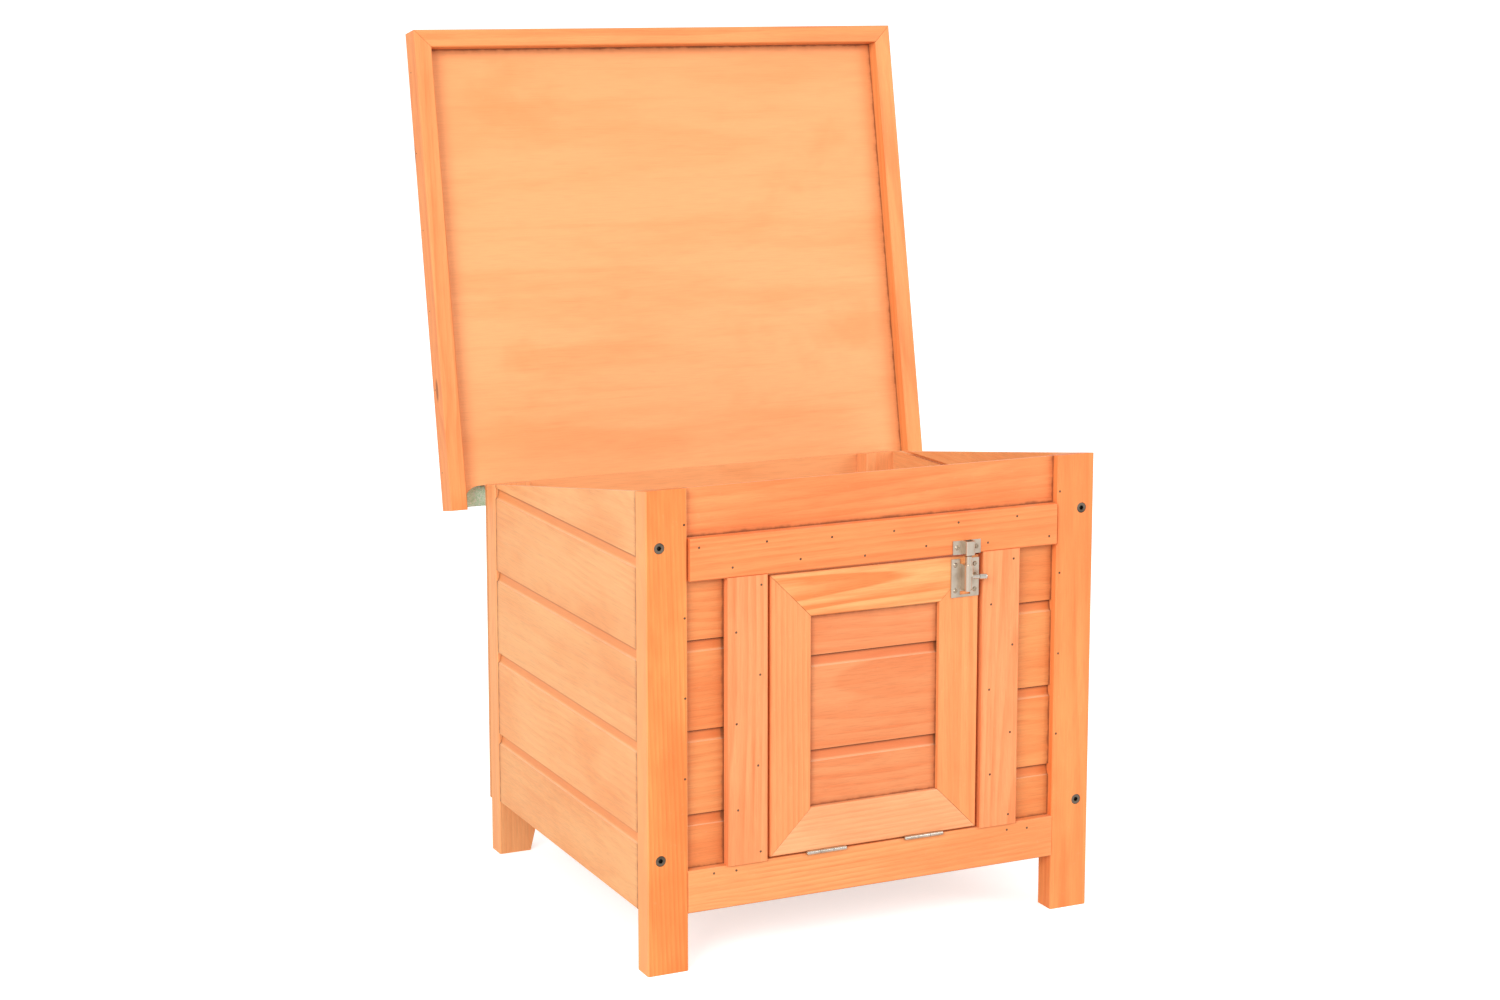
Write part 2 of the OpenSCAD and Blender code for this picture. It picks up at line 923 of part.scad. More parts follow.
module lid_hinge_screws() {
    place()
        color(NICKEL)
            in_lid()
                for (x = lid_hinge_starts)
                    translate([x, 0, 0])
                        rotate([-90, 0, 0])
                            leaf_screws(lid_hinge_length, lid_leaf_width, lid_leaf_z, lid_leaf_thick,
                                lid_relief, false);
}

// ---- Door ----

door_inner_left = door_left + door_member;
door_inner_right = door_right - door_member;
door_inner_bottom = door_bottom + door_member;
door_inner_top = door_top - door_member;
door_board_left = door_inner_left - door_lap;
door_board_right = door_inner_right + door_lap;

// Rebate behind the frame's inner edge, where the boards lie.
module door_rebate() {
    translate([door_board_left, door_recess, door_inner_bottom - door_lap])
        cube([door_board_right - door_board_left, door_thick,
            door_inner_top - door_inner_bottom + 2 * door_lap]);
}

// One mitred member lying along X with its long side at the bottom, the door's face towards -Y.
module door_member_x(length) {
    intersection() {
        bar_x([length, door_thick, door_member]);
        translate([0, door_thick, 0])
            rotate([90, 0, 0])
                linear_extrude(door_thick)
                    mitred_plan(length, door_member, true, true);
    }
}

module door_frame_bottom() {
    place()
        color(PINE)
            difference() {
                translate([door_left, 0, door_bottom])
                    door_member_x(door_width);
                door_rebate();
            }
}

module door_frame_top() {
    place()
        color(PINE)
            difference() {
                translate([door_left, 0, door_top])
                    mirror([0, 0, 1])
                        door_member_x(door_width);
                door_rebate();
            }
}

module door_frame_left() {
    place()
        color(PINE)
            difference() {
                translate([door_left, 0, door_top])
                    rotate([0, 90, 0])
                        door_member_x(door_height);
                door_rebate();
            }
}

module door_frame_right() {
    place()
        color(PINE)
            difference() {
                translate([door_right, 0, door_bottom])
                    rotate([0, -90, 0])
                        door_member_x(door_height);
                door_rebate();
            }
}

module door_board(n) {
    edges = [door_inner_bottom - door_lap, door_joints[0], door_joints[1], door_inner_top + door_lap];
    place()
        color(PINE)
            board_x(door_board_left, door_board_right, door_recess, edges[n - 1], edges[n], n < 3, n > 1);
}

module door_hinge_leaves() {
    place()
        color(NICKEL)
            for (x = door_hinge_starts)
                at_door_pin(x)
                    hinge_leaf(door_hinge_length, door_leaf_width, door_leaf_z, door_leaf_z,
                        door_leaf_thick, door_relief, door_knuckle_r,
                        door_pin_r + hinge_bore_clear, true, false);
}

module bolt_screw_places() {
    low = bolt_plate_bottom + 6;
    high = bolt_plate_bottom + 28.7;
    for (spot = [[-1, low], [-1, high], [1, low], [1, high], [1, knob_height]])
        translate([bolt_x + spot[0] * bolt_screw_x, -plate_thick, spot[1]])
            rotate([90, 0, 0])
                children();
}

// The window in the barrel's right side that the knob slides in.
module knob_window() {
    reach = barrel_r + through;
    translate([bolt_x - 0.5, rod_y - reach, window_bottom])
        cube([reach, reach - rod_y - plate_thick - 0.2, window_top - window_bottom]);
    translate([bolt_x, rod_y, window_bottom])
        rotate([0, 0, -knob_angle])
            translate([0, -slot_half, 0])
                cube([2 * reach, 2 * slot_half, barrel_top + through - window_bottom]);
}

module bolt_plate() {
    cut_half = barrel_r + 1;
    place()
        color(NICKEL)
            difference() {
                union() {
                    translate([bolt_x - bolt_plate_width / 2, -plate_thick, bolt_plate_bottom])
                        cube([bolt_plate_width, plate_thick, bolt_plate_height]);
                    raised_barrel(barrel_r, barrel_bottom, barrel_top, -plate_thick / 2);
                }
                translate([bolt_x, rod_y, bolt_plate_bottom])
                    cylinder(r = rod_r + rod_clear, h = bolt_plate_height);
                knob_window();
                translate([bolt_x - cut_half, -2 * plate_thick, barrel_top])
                    cube([2 * cut_half, 3 * plate_thick, bolt_plate_height]);
                translate([bolt_x - cut_half, -2 * plate_thick, bolt_plate_bottom + 2.2])
                    cube([2 * cut_half, 3 * plate_thick, barrel_bottom - bolt_plate_bottom - 3.2]);
                bolt_screw_places()
                    cylinder(r = screw_shank_r + 0.1, h = 2 * through + plate_thick, center = true);
            }
}

module door_screws() {
    place()
        color(NICKEL) {
            bolt_screw_places()
                pan_screw();
            for (x = door_hinge_starts)
                at_door_pin(x)
                    leaf_screws(door_hinge_length, door_leaf_width, door_leaf_z, door_leaf_thick,
                        door_relief, false);
        }
}

// ---- Sliding bolt ----

module bolt_rod() {
    tip_chamfer = 0.8;
    place()
        color(NICKEL)
            translate([bolt_x, rod_y, 0]) {
                translate([0, 0, rod_bottom])
                    cylinder(r = rod_r, h = rod_tip - tip_chamfer - rod_bottom);
                translate([0, 0, rod_tip - tip_chamfer])
                    cylinder(r1 = rod_r, r2 = rod_r - tip_chamfer, h = tip_chamfer);
            }
}

// Turned knob: a flaring stem, a groove and a round-ended grip, screwed into the rod's side.
module bolt_knob() {
    flare_end = knob_reach - 7.6;
    grip_start = knob_reach - 6.8;
    round_r = 1.2;
    place()
        color(NICKEL)
            translate([bolt_x, rod_y, knob_height])
                rotate([0, 90, -knob_angle])
                    rotate_extrude()
                        polygon(concat(
                            [[0, rod_r], [knob_stem_r, rod_r], [knob_tip_r - 0.2, flare_end],
                                [knob_tip_r - 0.9, flare_end + 0.2], [knob_tip_r - 0.9, grip_start - 0.2],
                                [knob_tip_r, grip_start]],
                            [for (a = [0:15:90]) [
                                knob_tip_r - round_r + round_r * cos(a),
                                knob_reach - round_r + round_r * sin(a)]],
                            [[0, knob_reach]]
                        ));
}

post_front_left();
post_front_right();
post_rear_left();
post_rear_right();
front_bottom_rail();
rear_bottom_rail();
front_header();
trim_left();
trim_right();
front_top_board();
front_left_board(1);  // front_left_board_1
front_left_board(2);  // front_left_board_2
front_left_board(3);  // front_left_board_3
front_left_board(4);  // front_left_board_4
front_right_board(1);  // front_right_board_1
front_right_board(2);  // front_right_board_2
front_right_board(3);  // front_right_board_3
front_right_board(4);  // front_right_board_4
left_wall_board(1);  // left_wall_board_1
left_wall_board(2);  // left_wall_board_2
left_wall_board(3);  // left_wall_board_3
left_wall_board(4);  // left_wall_board_4
left_wall_board(5);  // left_wall_board_5
right_wall_board(1);  // right_wall_board_1
right_wall_board(2);  // right_wall_board_2
right_wall_board(3);  // right_wall_board_3
right_wall_board(4);  // right_wall_board_4
right_wall_board(5);  // right_wall_board_5
side_cleats_left();
side_cleats_right();
back_panel();
floor_bearers();
floor_panel();
post_bolts();
lid_hinge_wall_leaves();
door_hinge_rail_leaves();
hinge_pins();
hutch_hinge_screws();
bolt_keeper();
keeper_screws();
lid_panel();
lid_batten_left();
lid_batten_right();
lid_batten_front();
roof_felt();
lid_hinge_leaves();
lid_hinge_screws();
door_frame_bottom();
door_frame_top();
door_frame_left();
door_frame_right();
door_board(1);  // door_board_1
door_board(2);  // door_board_2
door_board(3);  // door_board_3
door_hinge_leaves();
bolt_plate();
door_screws();
bolt_rod();
bolt_knob();
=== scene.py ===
# %% [markdown]
# # A small rabbit hutch, finished in Blender
# The hutch arrives as a fixed frame: every board, hinge and screw is already in its place and at
# its real size. What is left is what the eye judges by: stained softwood with its rings and
# knots, plated steel, mineral felt, the many small nails, and soft light. Each step is a short
# cell.

# %% Load the frame
import json
import math
import random

import bmesh
import bpy
from mathutils import Euler, Matrix, Vector


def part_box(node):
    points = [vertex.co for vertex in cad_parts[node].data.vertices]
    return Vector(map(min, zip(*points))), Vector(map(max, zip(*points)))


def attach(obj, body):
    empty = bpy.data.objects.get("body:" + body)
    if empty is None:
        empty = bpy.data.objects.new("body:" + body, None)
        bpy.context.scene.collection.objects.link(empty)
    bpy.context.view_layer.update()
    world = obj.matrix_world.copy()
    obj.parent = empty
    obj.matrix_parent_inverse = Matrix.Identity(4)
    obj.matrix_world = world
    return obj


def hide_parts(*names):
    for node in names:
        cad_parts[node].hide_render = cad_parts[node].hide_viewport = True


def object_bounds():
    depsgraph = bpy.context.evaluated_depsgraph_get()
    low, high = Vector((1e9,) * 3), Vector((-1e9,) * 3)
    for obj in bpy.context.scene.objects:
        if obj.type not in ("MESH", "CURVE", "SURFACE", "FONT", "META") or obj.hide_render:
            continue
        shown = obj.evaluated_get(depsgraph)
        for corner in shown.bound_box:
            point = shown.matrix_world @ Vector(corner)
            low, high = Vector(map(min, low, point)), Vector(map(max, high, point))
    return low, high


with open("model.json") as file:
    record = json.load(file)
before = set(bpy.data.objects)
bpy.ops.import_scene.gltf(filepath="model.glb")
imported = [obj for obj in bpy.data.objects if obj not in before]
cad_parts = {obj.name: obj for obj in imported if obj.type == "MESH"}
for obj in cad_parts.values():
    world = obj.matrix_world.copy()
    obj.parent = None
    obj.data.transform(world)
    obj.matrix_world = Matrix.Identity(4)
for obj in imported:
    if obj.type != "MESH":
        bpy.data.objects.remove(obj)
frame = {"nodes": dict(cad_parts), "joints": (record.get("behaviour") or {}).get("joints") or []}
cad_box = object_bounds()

NODES = frame["nodes"]
JOINTS = {joint["name"]: joint for joint in frame["joints"]}
MM = 0.001
print("frame:", len(NODES), "pieces, box", [[round(c, 3) for c in corner] for corner in cad_box])

# %% [markdown]
# ## The view
# A product picture of furniture is taken with a long lens from some metres away, so that upright
# posts stay nearly upright. The camera looks down a little, and the lens is shifted a little too,
# which takes part of the tilt off the posts. A larger shift would straighten them fully, but it
# would push the hutch out of the frame as soon as somebody walks the camera round it.

# %% Camera
LENS_PER_FRAME = 1.8146
CAMERA_PLACE = Vector((-1.0715, -2.2398, 0.8316))
CAMERA_TURN = math.radians(25.381)
CAMERA_TIP = math.radians(9.121)
SHIFT_UP = -0.06


def make_camera():
    lens = bpy.data.cameras.new("hutch_camera")
    lens.sensor_width = 36
    lens.lens = LENS_PER_FRAME * lens.sensor_width
    lens.shift_y = SHIFT_UP
    lens.clip_end = 1000
    camera = bpy.data.objects.new("hutch_camera", lens)
    camera.location = CAMERA_PLACE
    camera.rotation_euler = (math.radians(90) - CAMERA_TIP, 0, -CAMERA_TURN)
    bpy.context.scene.collection.objects.link(camera)
    bpy.context.scene.camera = camera
    return camera


camera = make_camera()
print("camera:", round(camera.data.lens, 1), "mm lens at", tuple(camera.location))

# %% [markdown]
# ## Building shader trees
# A shader tree written out node by node is hard to read. These helpers let a line of Python say
# what a line of a tree does: feed a value or another node's output into a socket, add a sum, or
# remap a range. A shared effect becomes a node group with named inputs and outputs.

# %% Shader helpers
def feed(tree, value, socket):
    """Links an output to the socket, or sets the socket to a plain value."""
    if isinstance(value, bpy.types.NodeSocket):
        tree.links.new(value, socket)
    else:
        socket.default_value = value


def add(tree, kind, inputs=None, **settings):
    node = tree.nodes.new(kind)
    for name, value in settings.items():
        setattr(node, name, value)
    for name, value in (inputs or {}).items():
        feed(tree, value, node.inputs[name])
    return node


def sums(tree, operation, a, b=0.0, clamp=False):
    node = add(tree, "ShaderNodeMath", {0: a, 1: b}, operation=operation, use_clamp=clamp)
    return node.outputs[0]


def times(tree, a, b):
    return sums(tree, "MULTIPLY", a, b)


def vectors(tree, operation, a, b):
    return add(tree, "ShaderNodeVectorMath", {0: a, 1: b}, operation=operation).outputs[0]


def part(tree, vector, axis):
    """One of a vector's three parts."""
    return add(tree, "ShaderNodeSeparateXYZ", {0: vector}).outputs[axis]


def scaled(tree, vector, factors):
    return vectors(tree, "MULTIPLY", vector, factors)


def mapped(tree, vector, shift, turn):
    """The vector turned by a matrix, then shifted."""
    sockets = {"Vector": vector, "Location": shift, "Rotation": turn.to_euler()}
    return add(tree, "ShaderNodeMapping", sockets).outputs[0]


def ramp(tree, value, low, high, to_low=0.0, to_high=1.0):
    """A smooth step from to_low at low to to_high at high."""
    sockets = {"Value": value, "From Min": low, "From Max": high,
               "To Min": to_low, "To Max": to_high}
    return add(tree, "ShaderNodeMapRange", sockets, interpolation_type="SMOOTHSTEP").outputs[0]


def noise(tree, vector, scale=1.0, detail=2.0, roughness=0.5):
    sockets = {"Vector": vector, "Scale": scale, "Detail": detail, "Roughness": roughness}
    return add(tree, "ShaderNodeTexNoise", sockets).outputs[0]


def stretched(tree, vector, factors, scale=1.0, detail=2.0, roughness=0.5):
    """Noise in a vector whose parts are multiplied first; a small factor draws it out that way."""
    return noise(tree, scaled(tree, vector, factors), scale, detail, roughness)


def mixed(tree, factor, a, b, blend="MIX"):
    """One colour over another."""
    node = add(tree, "ShaderNodeMix", data_type="RGBA", blend_type=blend, clamp_factor=True)
    feed(tree, factor, node.inputs[0])
    feed(tree, a, node.inputs[6])
    feed(tree, b, node.inputs[7])
    return node.outputs[2]


def shaded(tree, color, factor):
    """The colour times a plain factor."""
    grey = add(tree, "ShaderNodeCombineColor", {0: factor, 1: factor, 2: factor}).outputs[0]
    return mixed(tree, 1.0, color, grey, "MULTIPLY")


def group_with(name, inputs, outputs):
    """A new node group; inputs maps a name to (socket type, default), outputs to its type."""
    tree = bpy.data.node_groups.new(name, "ShaderNodeTree")
    for label, (kind, default) in inputs.items():
        socket = tree.interface.new_socket(name=label, in_out="INPUT", socket_type=kind)
        socket.default_value = default
    for label, kind in outputs.items():
        tree.interface.new_socket(name=label, in_out="OUTPUT", socket_type=kind)
    return tree, tree.nodes.new("NodeGroupInput").outputs, tree.nodes.new("NodeGroupOutput").inputs


FLOAT, COLOR, VECTOR = "NodeSocketFloat", "NodeSocketColor", "NodeSocketVector"
print("shader helpers ready")

# %% [markdown]
# ## Softwood grain
# A softwood board is a slice of a log, and its figure is the log's rings cut open. So the group
# works in three dimensions: it measures how far a point lies from the log's heart, bends that
# distance with slow noise, and counts rings. Faces, edges and ends then all agree, and a board
# cut close to the heart shows arched "cathedral" figure by itself. In each ring the pale early
# wood darkens slowly and ends at a sharp line. Knots push the rings aside. Fine fibres and broad
# stain blotches lie on top. X is always along the grain.

# %% The grain group
KNOT_CELLS = (5.5, 13.0, 1.0)
FIBRE_STRETCH = (45.0, 1300.0, 1300.0)
STREAK_STRETCH = (3.0, 150.0, 150.0)
KNOT_BROWN = (0.30, 0.085, 0.02, 1)


def make_grain():
    inputs = {
        "Vector": (VECTOR, (0, 0, 0)), "Pale": (COLOR, (0.9, 0.44, 0.2, 1)),
        "Dark": (COLOR, (0.78, 0.25, 0.07, 1)), "Ring Spacing": (FLOAT, 0.004),
        "Waver": (FLOAT, 0.012), "Contrast": (FLOAT, 0.6), "Knots": (FLOAT, 0.6),
        "Blotches": (FLOAT, 0.5),
    }
    outputs = {"Color": COLOR, "Roughness": FLOAT, "Height": FLOAT}
    tree, given, result = group_with("Softwood grain", inputs, outputs)
    place = given["Vector"]

    # Knots: cells along the board, some of which hold a small dark ellipse.
    parts = add(tree, "ShaderNodeSeparateXYZ", {0: place}).outputs
    across = sums(tree, "ADD", parts[1], parts[2])
    plane = add(tree, "ShaderNodeCombineXYZ", {0: parts[0], 1: across}).outputs[0]
    spread = scaled(tree, plane, KNOT_CELLS)
    cells = add(tree, "ShaderNodeTexVoronoi", {"Vector": spread, "Scale": 1.0},
                voronoi_dimensions="2D")
    chance = add(tree, "ShaderNodeSeparateColor", {0: cells.outputs["Color"]}).outputs[0]
    holds_knot = sums(tree, "LESS_THAN", chance, given["Knots"])
    distance = cells.outputs["Distance"]
    knot = times(tree, ramp(tree, distance, 0.035, 0.075, 1.0, 0.0), holds_knot)
    swirl = times(tree, ramp(tree, distance, 0.0, 0.42, 0.011, 0.0), holds_knot)

    # Rings: distance from the heart, bent by noise that is stretched along the grain.
    bend = sums(tree, "SUBTRACT", stretched(tree, place, (0.22, 1.0, 1.0), 9.0), 0.5)
    cross = scaled(tree, place, (0.0, 1.0, 1.0))
    heart = add(tree, "ShaderNodeVectorMath", {0: cross}, operation="LENGTH").outputs["Value"]
    bent = sums(tree, "ADD", heart, times(tree, bend, given["Waver"]))
    radius = sums(tree, "ADD", bent, swirl)
    phase = sums(tree, "FRACT", sums(tree, "DIVIDE", radius, given["Ring Spacing"]))
    late = times(tree, ramp(tree, phase, 0.15, 0.86), ramp(tree, phase, 0.88, 1.0, 1.0, 0.0))

    # Colour: rings and streaks, then blotches, pores and knots.
    fibres = stretched(tree, place, FIBRE_STRETCH, 1.0, 3.0, 0.65)
    streaks = stretched(tree, place, STREAK_STRETCH, 1.0, 3.0, 0.6)
    cloud = stretched(tree, place, (0.45, 1.0, 1.0), 14.0, 3.0, 0.6)
    fade = ramp(tree, stretched(tree, place, (0.5, 1.0, 1.0), 22.0), 0.3, 0.7, 0.35, 1.0)
    strength = times(tree, times(tree, late, fade), given["Contrast"])
    streak = times(tree, ramp(tree, streaks, 0.42, 0.75), given["Contrast"])
    strength = sums(tree, "ADD", strength, times(tree, streak, 0.7), clamp=True)
    color = mixed(tree, strength, given["Pale"], given["Dark"])
    tone = times(tree, ramp(tree, cloud, 0.4, 0.72), given["Blotches"])
    color = mixed(tree, times(tree, tone, 0.55), color, given["Dark"])
    color = shaded(tree, color, ramp(tree, fibres, 0.28, 0.62, 0.9, 1.04))
    color = mixed(tree, times(tree, knot, 0.85), color, KNOT_BROWN)
    feed(tree, color, result["Color"])

    # Roughness and relief: late wood is harder, smoother and stands a little proud.
    rough = sums(tree, "ADD", 0.46, times(tree, fibres, 0.18))
    feed(tree, sums(tree, "SUBTRACT", rough, times(tree, late, 0.05)), result["Roughness"])
    relief = sums(tree, "ADD", times(tree, fibres, 0.5), times(tree, late, 0.25))
    feed(tree, sums(tree, "SUBTRACT", relief, times(tree, knot, 0.4)), result["Height"])
    return tree


grain = make_grain()
print("grain group:", len(grain.nodes), "nodes")

# %% [markdown]
# ## Dust and handling
# Nothing that has been packed and unpacked is perfectly clean. One group adds a faint bloom of
# dust to faces that look up, and a scatter of tiny dull rubs. Wood, steel and felt all take it,
# each with its own amount.

# %% The handling group
RUBBED = (0.95, 0.75, 0.58, 1)
DUSTY = (0.85, 0.8, 0.72, 1)


def make_handling():
    inputs = {"Color": (COLOR, (1, 1, 1, 1)), "Roughness": (FLOAT, 0.5), "Dust": (FLOAT, 0.1),
              "Rubs": (FLOAT, 0.2)}
    outputs = {"Color": COLOR, "Roughness": FLOAT}
    tree, given, result = group_with("Handling marks", inputs, outputs)
    place = add(tree, "ShaderNodeTexCoord").outputs
    looks_up = ramp(tree, part(tree, place["Normal"], 2), 0.3, 1.0)
    drift = ramp(tree, noise(tree, place["Object"], 60.0, 4.0, 0.6), 0.35, 0.75)
    dust = times(tree, times(tree, looks_up, drift), given["Dust"])
    rubs = stretched(tree, place["Object"], (1.0, 0.6, 1.0), 210.0, 5.0, 0.75)
    rub = times(tree, ramp(tree, rubs, 0.6, 0.72), given["Rubs"])
    color = mixed(tree, times(tree, rub, 0.35), given["Color"], RUBBED)
    feed(tree, mixed(tree, dust, color, DUSTY), result["Color"])
    dull = sums(tree, "ADD", times(tree, dust, 0.3), times(tree, rub, 0.12))
    feed(tree, sums(tree, "ADD", given["Roughness"], dull, clamp=True), result["Roughness"])
    return tree


handling = make_handling()
print("handling group:", len(handling.nodes), "nodes")

# %% [markdown]
# ## Painted shade in corners
# Where a board runs behind a trim or a frame, shade gathers in the corner, and the group paints it
# in as a darker colour. It measures how far a point is from the edges of the open part of the
# board: a thin strong line of painted shade lies along the corner, and a soft tone of painted
# shade reaches a little way beyond it.

# %% The corner group
def make_corners():
    inputs = {"Vector": (VECTOR, (0, 0, 0)), "Low": (VECTOR, (-9, -9, -9)),
              "High": (VECTOR, (9, 9, 9)), "Reach": (FLOAT, 0.007)}
    tree, given, result = group_with("Stain in corners", inputs, {"Mask": FLOAT})
    past_low = vectors(tree, "SUBTRACT", given["Vector"], given["Low"])
    to_high = vectors(tree, "SUBTRACT", given["High"], given["Vector"])
    nearest = vectors(tree, "MINIMUM", past_low, to_high)
    parts = add(tree, "ShaderNodeSeparateXYZ", {0: nearest}).outputs
    gap = sums(tree, "MINIMUM", sums(tree, "MINIMUM", parts[0], parts[1]), parts[2])
    waver = sums(tree, "SUBTRACT", noise(tree, given["Vector"], 130.0), 0.5)
    gap = sums(tree, "ADD", gap, times(tree, waver, times(tree, given["Reach"], 0.5)))
    # A thin line and a soft tone of painted shade along the corner.
    line = ramp(tree, gap, 0.0, times(tree, given["Reach"], 0.36), 0.65, 0.0)
    tone = ramp(tree, gap, 0.0, given["Reach"], 0.35, 0.0)
    feed(tree, sums(tree, "ADD", line, tone, clamp=True), result["Mask"])
    return tree


corners = make_corners()
print("corner group:", len(corners.nodes), "nodes")

# %% [markdown]
# ## Both ends of a material
# Every material starts from a plain Principled shader and ends the same way: its colour and
# roughness pass through the handling group, and a height gives it a little relief. Only what lies
# between is its own.

# %% Material helpers
def grouped(tree, group, inputs):
    return add(tree, "ShaderNodeGroup", inputs, node_tree=group).outputs


def new_material(name):
    material = bpy.data.materials.new(name)
    material.use_nodes = True
    tree = material.node_tree
    return material, tree, tree.nodes["Principled BSDF"]


def surface(tree, shader, color, rough, marks, relief, shine=0.5):
    """Ends a material; marks are (dust, rubs) and relief is (height, strength, distance)."""
    dust, rubs = marks
    height, strength, distance = relief
    marked = grouped(tree, handling,
                     {"Color": color, "Roughness": rough, "Dust": dust, "Rubs": rubs})
    bump = add(tree, "ShaderNodeBump",
               {"Height": height, "Strength": strength, "Distance": distance})
    feed(tree, marked["Color"], shader.inputs["Base Color"])
    feed(tree, marked["Roughness"], shader.inputs["Roughness"])
    feed(tree, bump.outputs[0], shader.inputs["Normal"])
    shader.inputs["Specular IOR Level"].default_value = shine


def finish_node(name, material):
    """Gives a CAD node its finish; its shape stays as it is."""
    piece = NODES[name]
    if not piece.data.materials:
        piece.data.materials.append(material)
    for place in piece.material_slots:
        place.material = material


print("material helpers ready")

# %% [markdown]
# ## Painted light and shade on the boards
# These functions paint light and shade over a colour: painted shade deep in the hollow along a
# board's top edge and in corners, a painted shadow in the open joints, a painted highlight on the
# narrow edges that look up, and painted light that makes the sides of one post paler.

# %% Painted light and shade
# Colours of painted shade, shadow, highlight and light.
CORNER_SHADE_BROWN = (0.20, 0.06, 0.02, 1)
JOINT_SHADOW_BROWN = (0.16, 0.05, 0.018, 1)
LIP_HIGHLIGHT = (0.95, 0.60, 0.36, 1)
SIDE_LIGHT_PALE = (0.95, 0.5, 0.22, 1)
HOLLOW_SHADE_DEPTHS = (1.0 * MM, 2.3 * MM)
JOINT_SHADOW_DEPTHS = (2.9 * MM, 3.05 * MM)
MIDDLE_DEPTHS = (4.5 * MM, 5.5 * MM)


def stained(green, blue, red=0.84):
    """Pale early wood and dark late wood of one stain, from the pale wood's colour."""
    return (red, green, blue), (red * 0.87, green * 0.56, blue * 0.4)


def with_corner_shade(tree, color, place, low, high, where=1.0):
    """Painted shade along the edges of the open part between two corners."""
    corner_shade_mask = grouped(tree, corners, {"Vector": place, "Low": low, "High": high})["Mask"]
    return mixed(tree, times(tree, times(tree, corner_shade_mask, 0.85), where), color, CORNER_SHADE_BROWN)


def side_light_painted(tree, color, place, amount):
    """Painted light: paler on faces that look sideways."""
    sideways = sums(tree, "ABSOLUTE", part(tree, place["Normal"], 0))
    return mixed(tree, ramp(tree, sideways, 0.5, 0.8, 0.0, amount), color, SIDE_LIGHT_PALE)


def outer_side(tree, place, axis, face, inwards):
    """How deep a point lies behind the board's face, and masks for the board's outer half and for
    what faces outwards."""
    behind = sums(tree, "SUBTRACT", part(tree, place["Object"], axis), face)
    depth = times(tree, behind, inwards)
    outwards = times(tree, part(tree, place["Normal"], axis), -inwards)
    return depth, ramp(tree, depth, *MIDDLE_DEPTHS, 1.0, 0.0), ramp(tree, outwards, 0.2, 0.5)


def cove_light_and_shade(tree, color, dark, place, depth, outside, outwards):
    """Painted shade deep in the hollow, a painted highlight on the edges that look up, a painted
    shadow in the open joint.
    """
    # Painted shade deep in the hollow.
    hollow = times(tree, ramp(tree, depth, *HOLLOW_SHADE_DEPTHS, 0.0, 0.65), outside)
    color = mixed(tree, hollow, color, (*dark, 1))
    # Painted highlight on the lip and on other edges that look up.
    lip = ramp(tree, part(tree, place["Normal"], 2), 0.45, 0.9, 0.0, 0.55)
    color = mixed(tree, times(tree, lip, outside), color, LIP_HIGHLIGHT)
    # Painted shadow in the open joint under the board above.
    joint = times(tree, ramp(tree, depth, *JOINT_SHADOW_DEPTHS, 0.0, 0.92), outside)
    return mixed(tree, times(tree, joint, outwards), color, JOINT_SHADOW_BROWN)


print("traces of stain ready")

# %% [markdown]
# ## One material for each board
# Two boards from one tree never look alike, so each piece gets its own slice of log. The Mapping
# node turns the grain along the piece and shifts the log's heart some centimetres away from the
# piece's middle, with a slight tilt, because no log is sawn dead straight. The name of the piece
# seeds the dice, so each run gives the same boards.

# %% The wooden material
ONE_TURN = 6.28
SAWN_TILT = 0.035


def middle_of(node):
    low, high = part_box(node)
    return (low + high) / 2


def wood(name, middle, along, stain, spacing=4.2, contrast=0.5, knots=0.35, blotches=0.4,
         heart=(25, 70), waver=12, hollow=None, window=None, flank=0.0):
    """Stained softwood for one piece, its grain along a direction; lengths in millimetres."""
    dice = random.Random(name)
    pale, dark = stained(*stain)
    material, tree, shader = new_material(name)
    tilt = Euler((dice.uniform(0, ONE_TURN), dice.uniform(-SAWN_TILT, SAWN_TILT),
                  dice.uniform(-SAWN_TILT, SAWN_TILT)))
    turn = tilt.to_matrix() @ Vector(along).rotation_difference(Vector((1, 0, 0))).to_matrix()
    away, angle = dice.uniform(*heart) * MM, dice.uniform(0, ONE_TURN)
    shift = Vector((dice.uniform(-2, 2), away * math.cos(angle), away * math.sin(angle)))
    place = add(tree, "ShaderNodeTexCoord").outputs
    sawn = mapped(tree, place["Object"], shift - turn @ Vector(middle), turn)
    tone = dice.uniform(0.96, 1.03)
    made = grouped(tree, grain, {
        "Vector": sawn, "Pale": [c * tone for c in pale] + [1],
        "Dark": [c * tone for c in dark] + [1], "Waver": waver * MM, "Contrast": contrast,
        "Ring Spacing": spacing * dice.uniform(0.75, 1.3) * MM, "Knots": knots,
        "Blotches": blotches})
    color, outside = made["Color"], 1.0
    # Painted shade, highlight and shadow along the board's hollow.
    if hollow:
        depth, outside, outwards = outer_side(tree, place, *hollow)
        color = cove_light_and_shade(tree, color, dark, place, depth, outside, outwards)
    # Painted shade in the corners where the board runs behind its neighbours.
    if window:
        color = with_corner_shade(tree, color, place["Object"], *window, where=outside)
    # Painted light: the sides of the piece are made paler than its front.
    if flank:
        color = side_light_painted(tree, color, place, flank)
    surface(tree, shader, color, made["Roughness"], (0.08, 0.12),
            (made["Height"], 0.25, 0.0006), shine=0.35)
    return material


print("wooden material ready")

# %% [markdown]
# ## The open part of each board
# The painted corner shade follows the line where a board disappears behind its neighbours, so it
# needs to know where the neighbours end. Their boxes tell.

# %% Open parts
FAR = 9.0


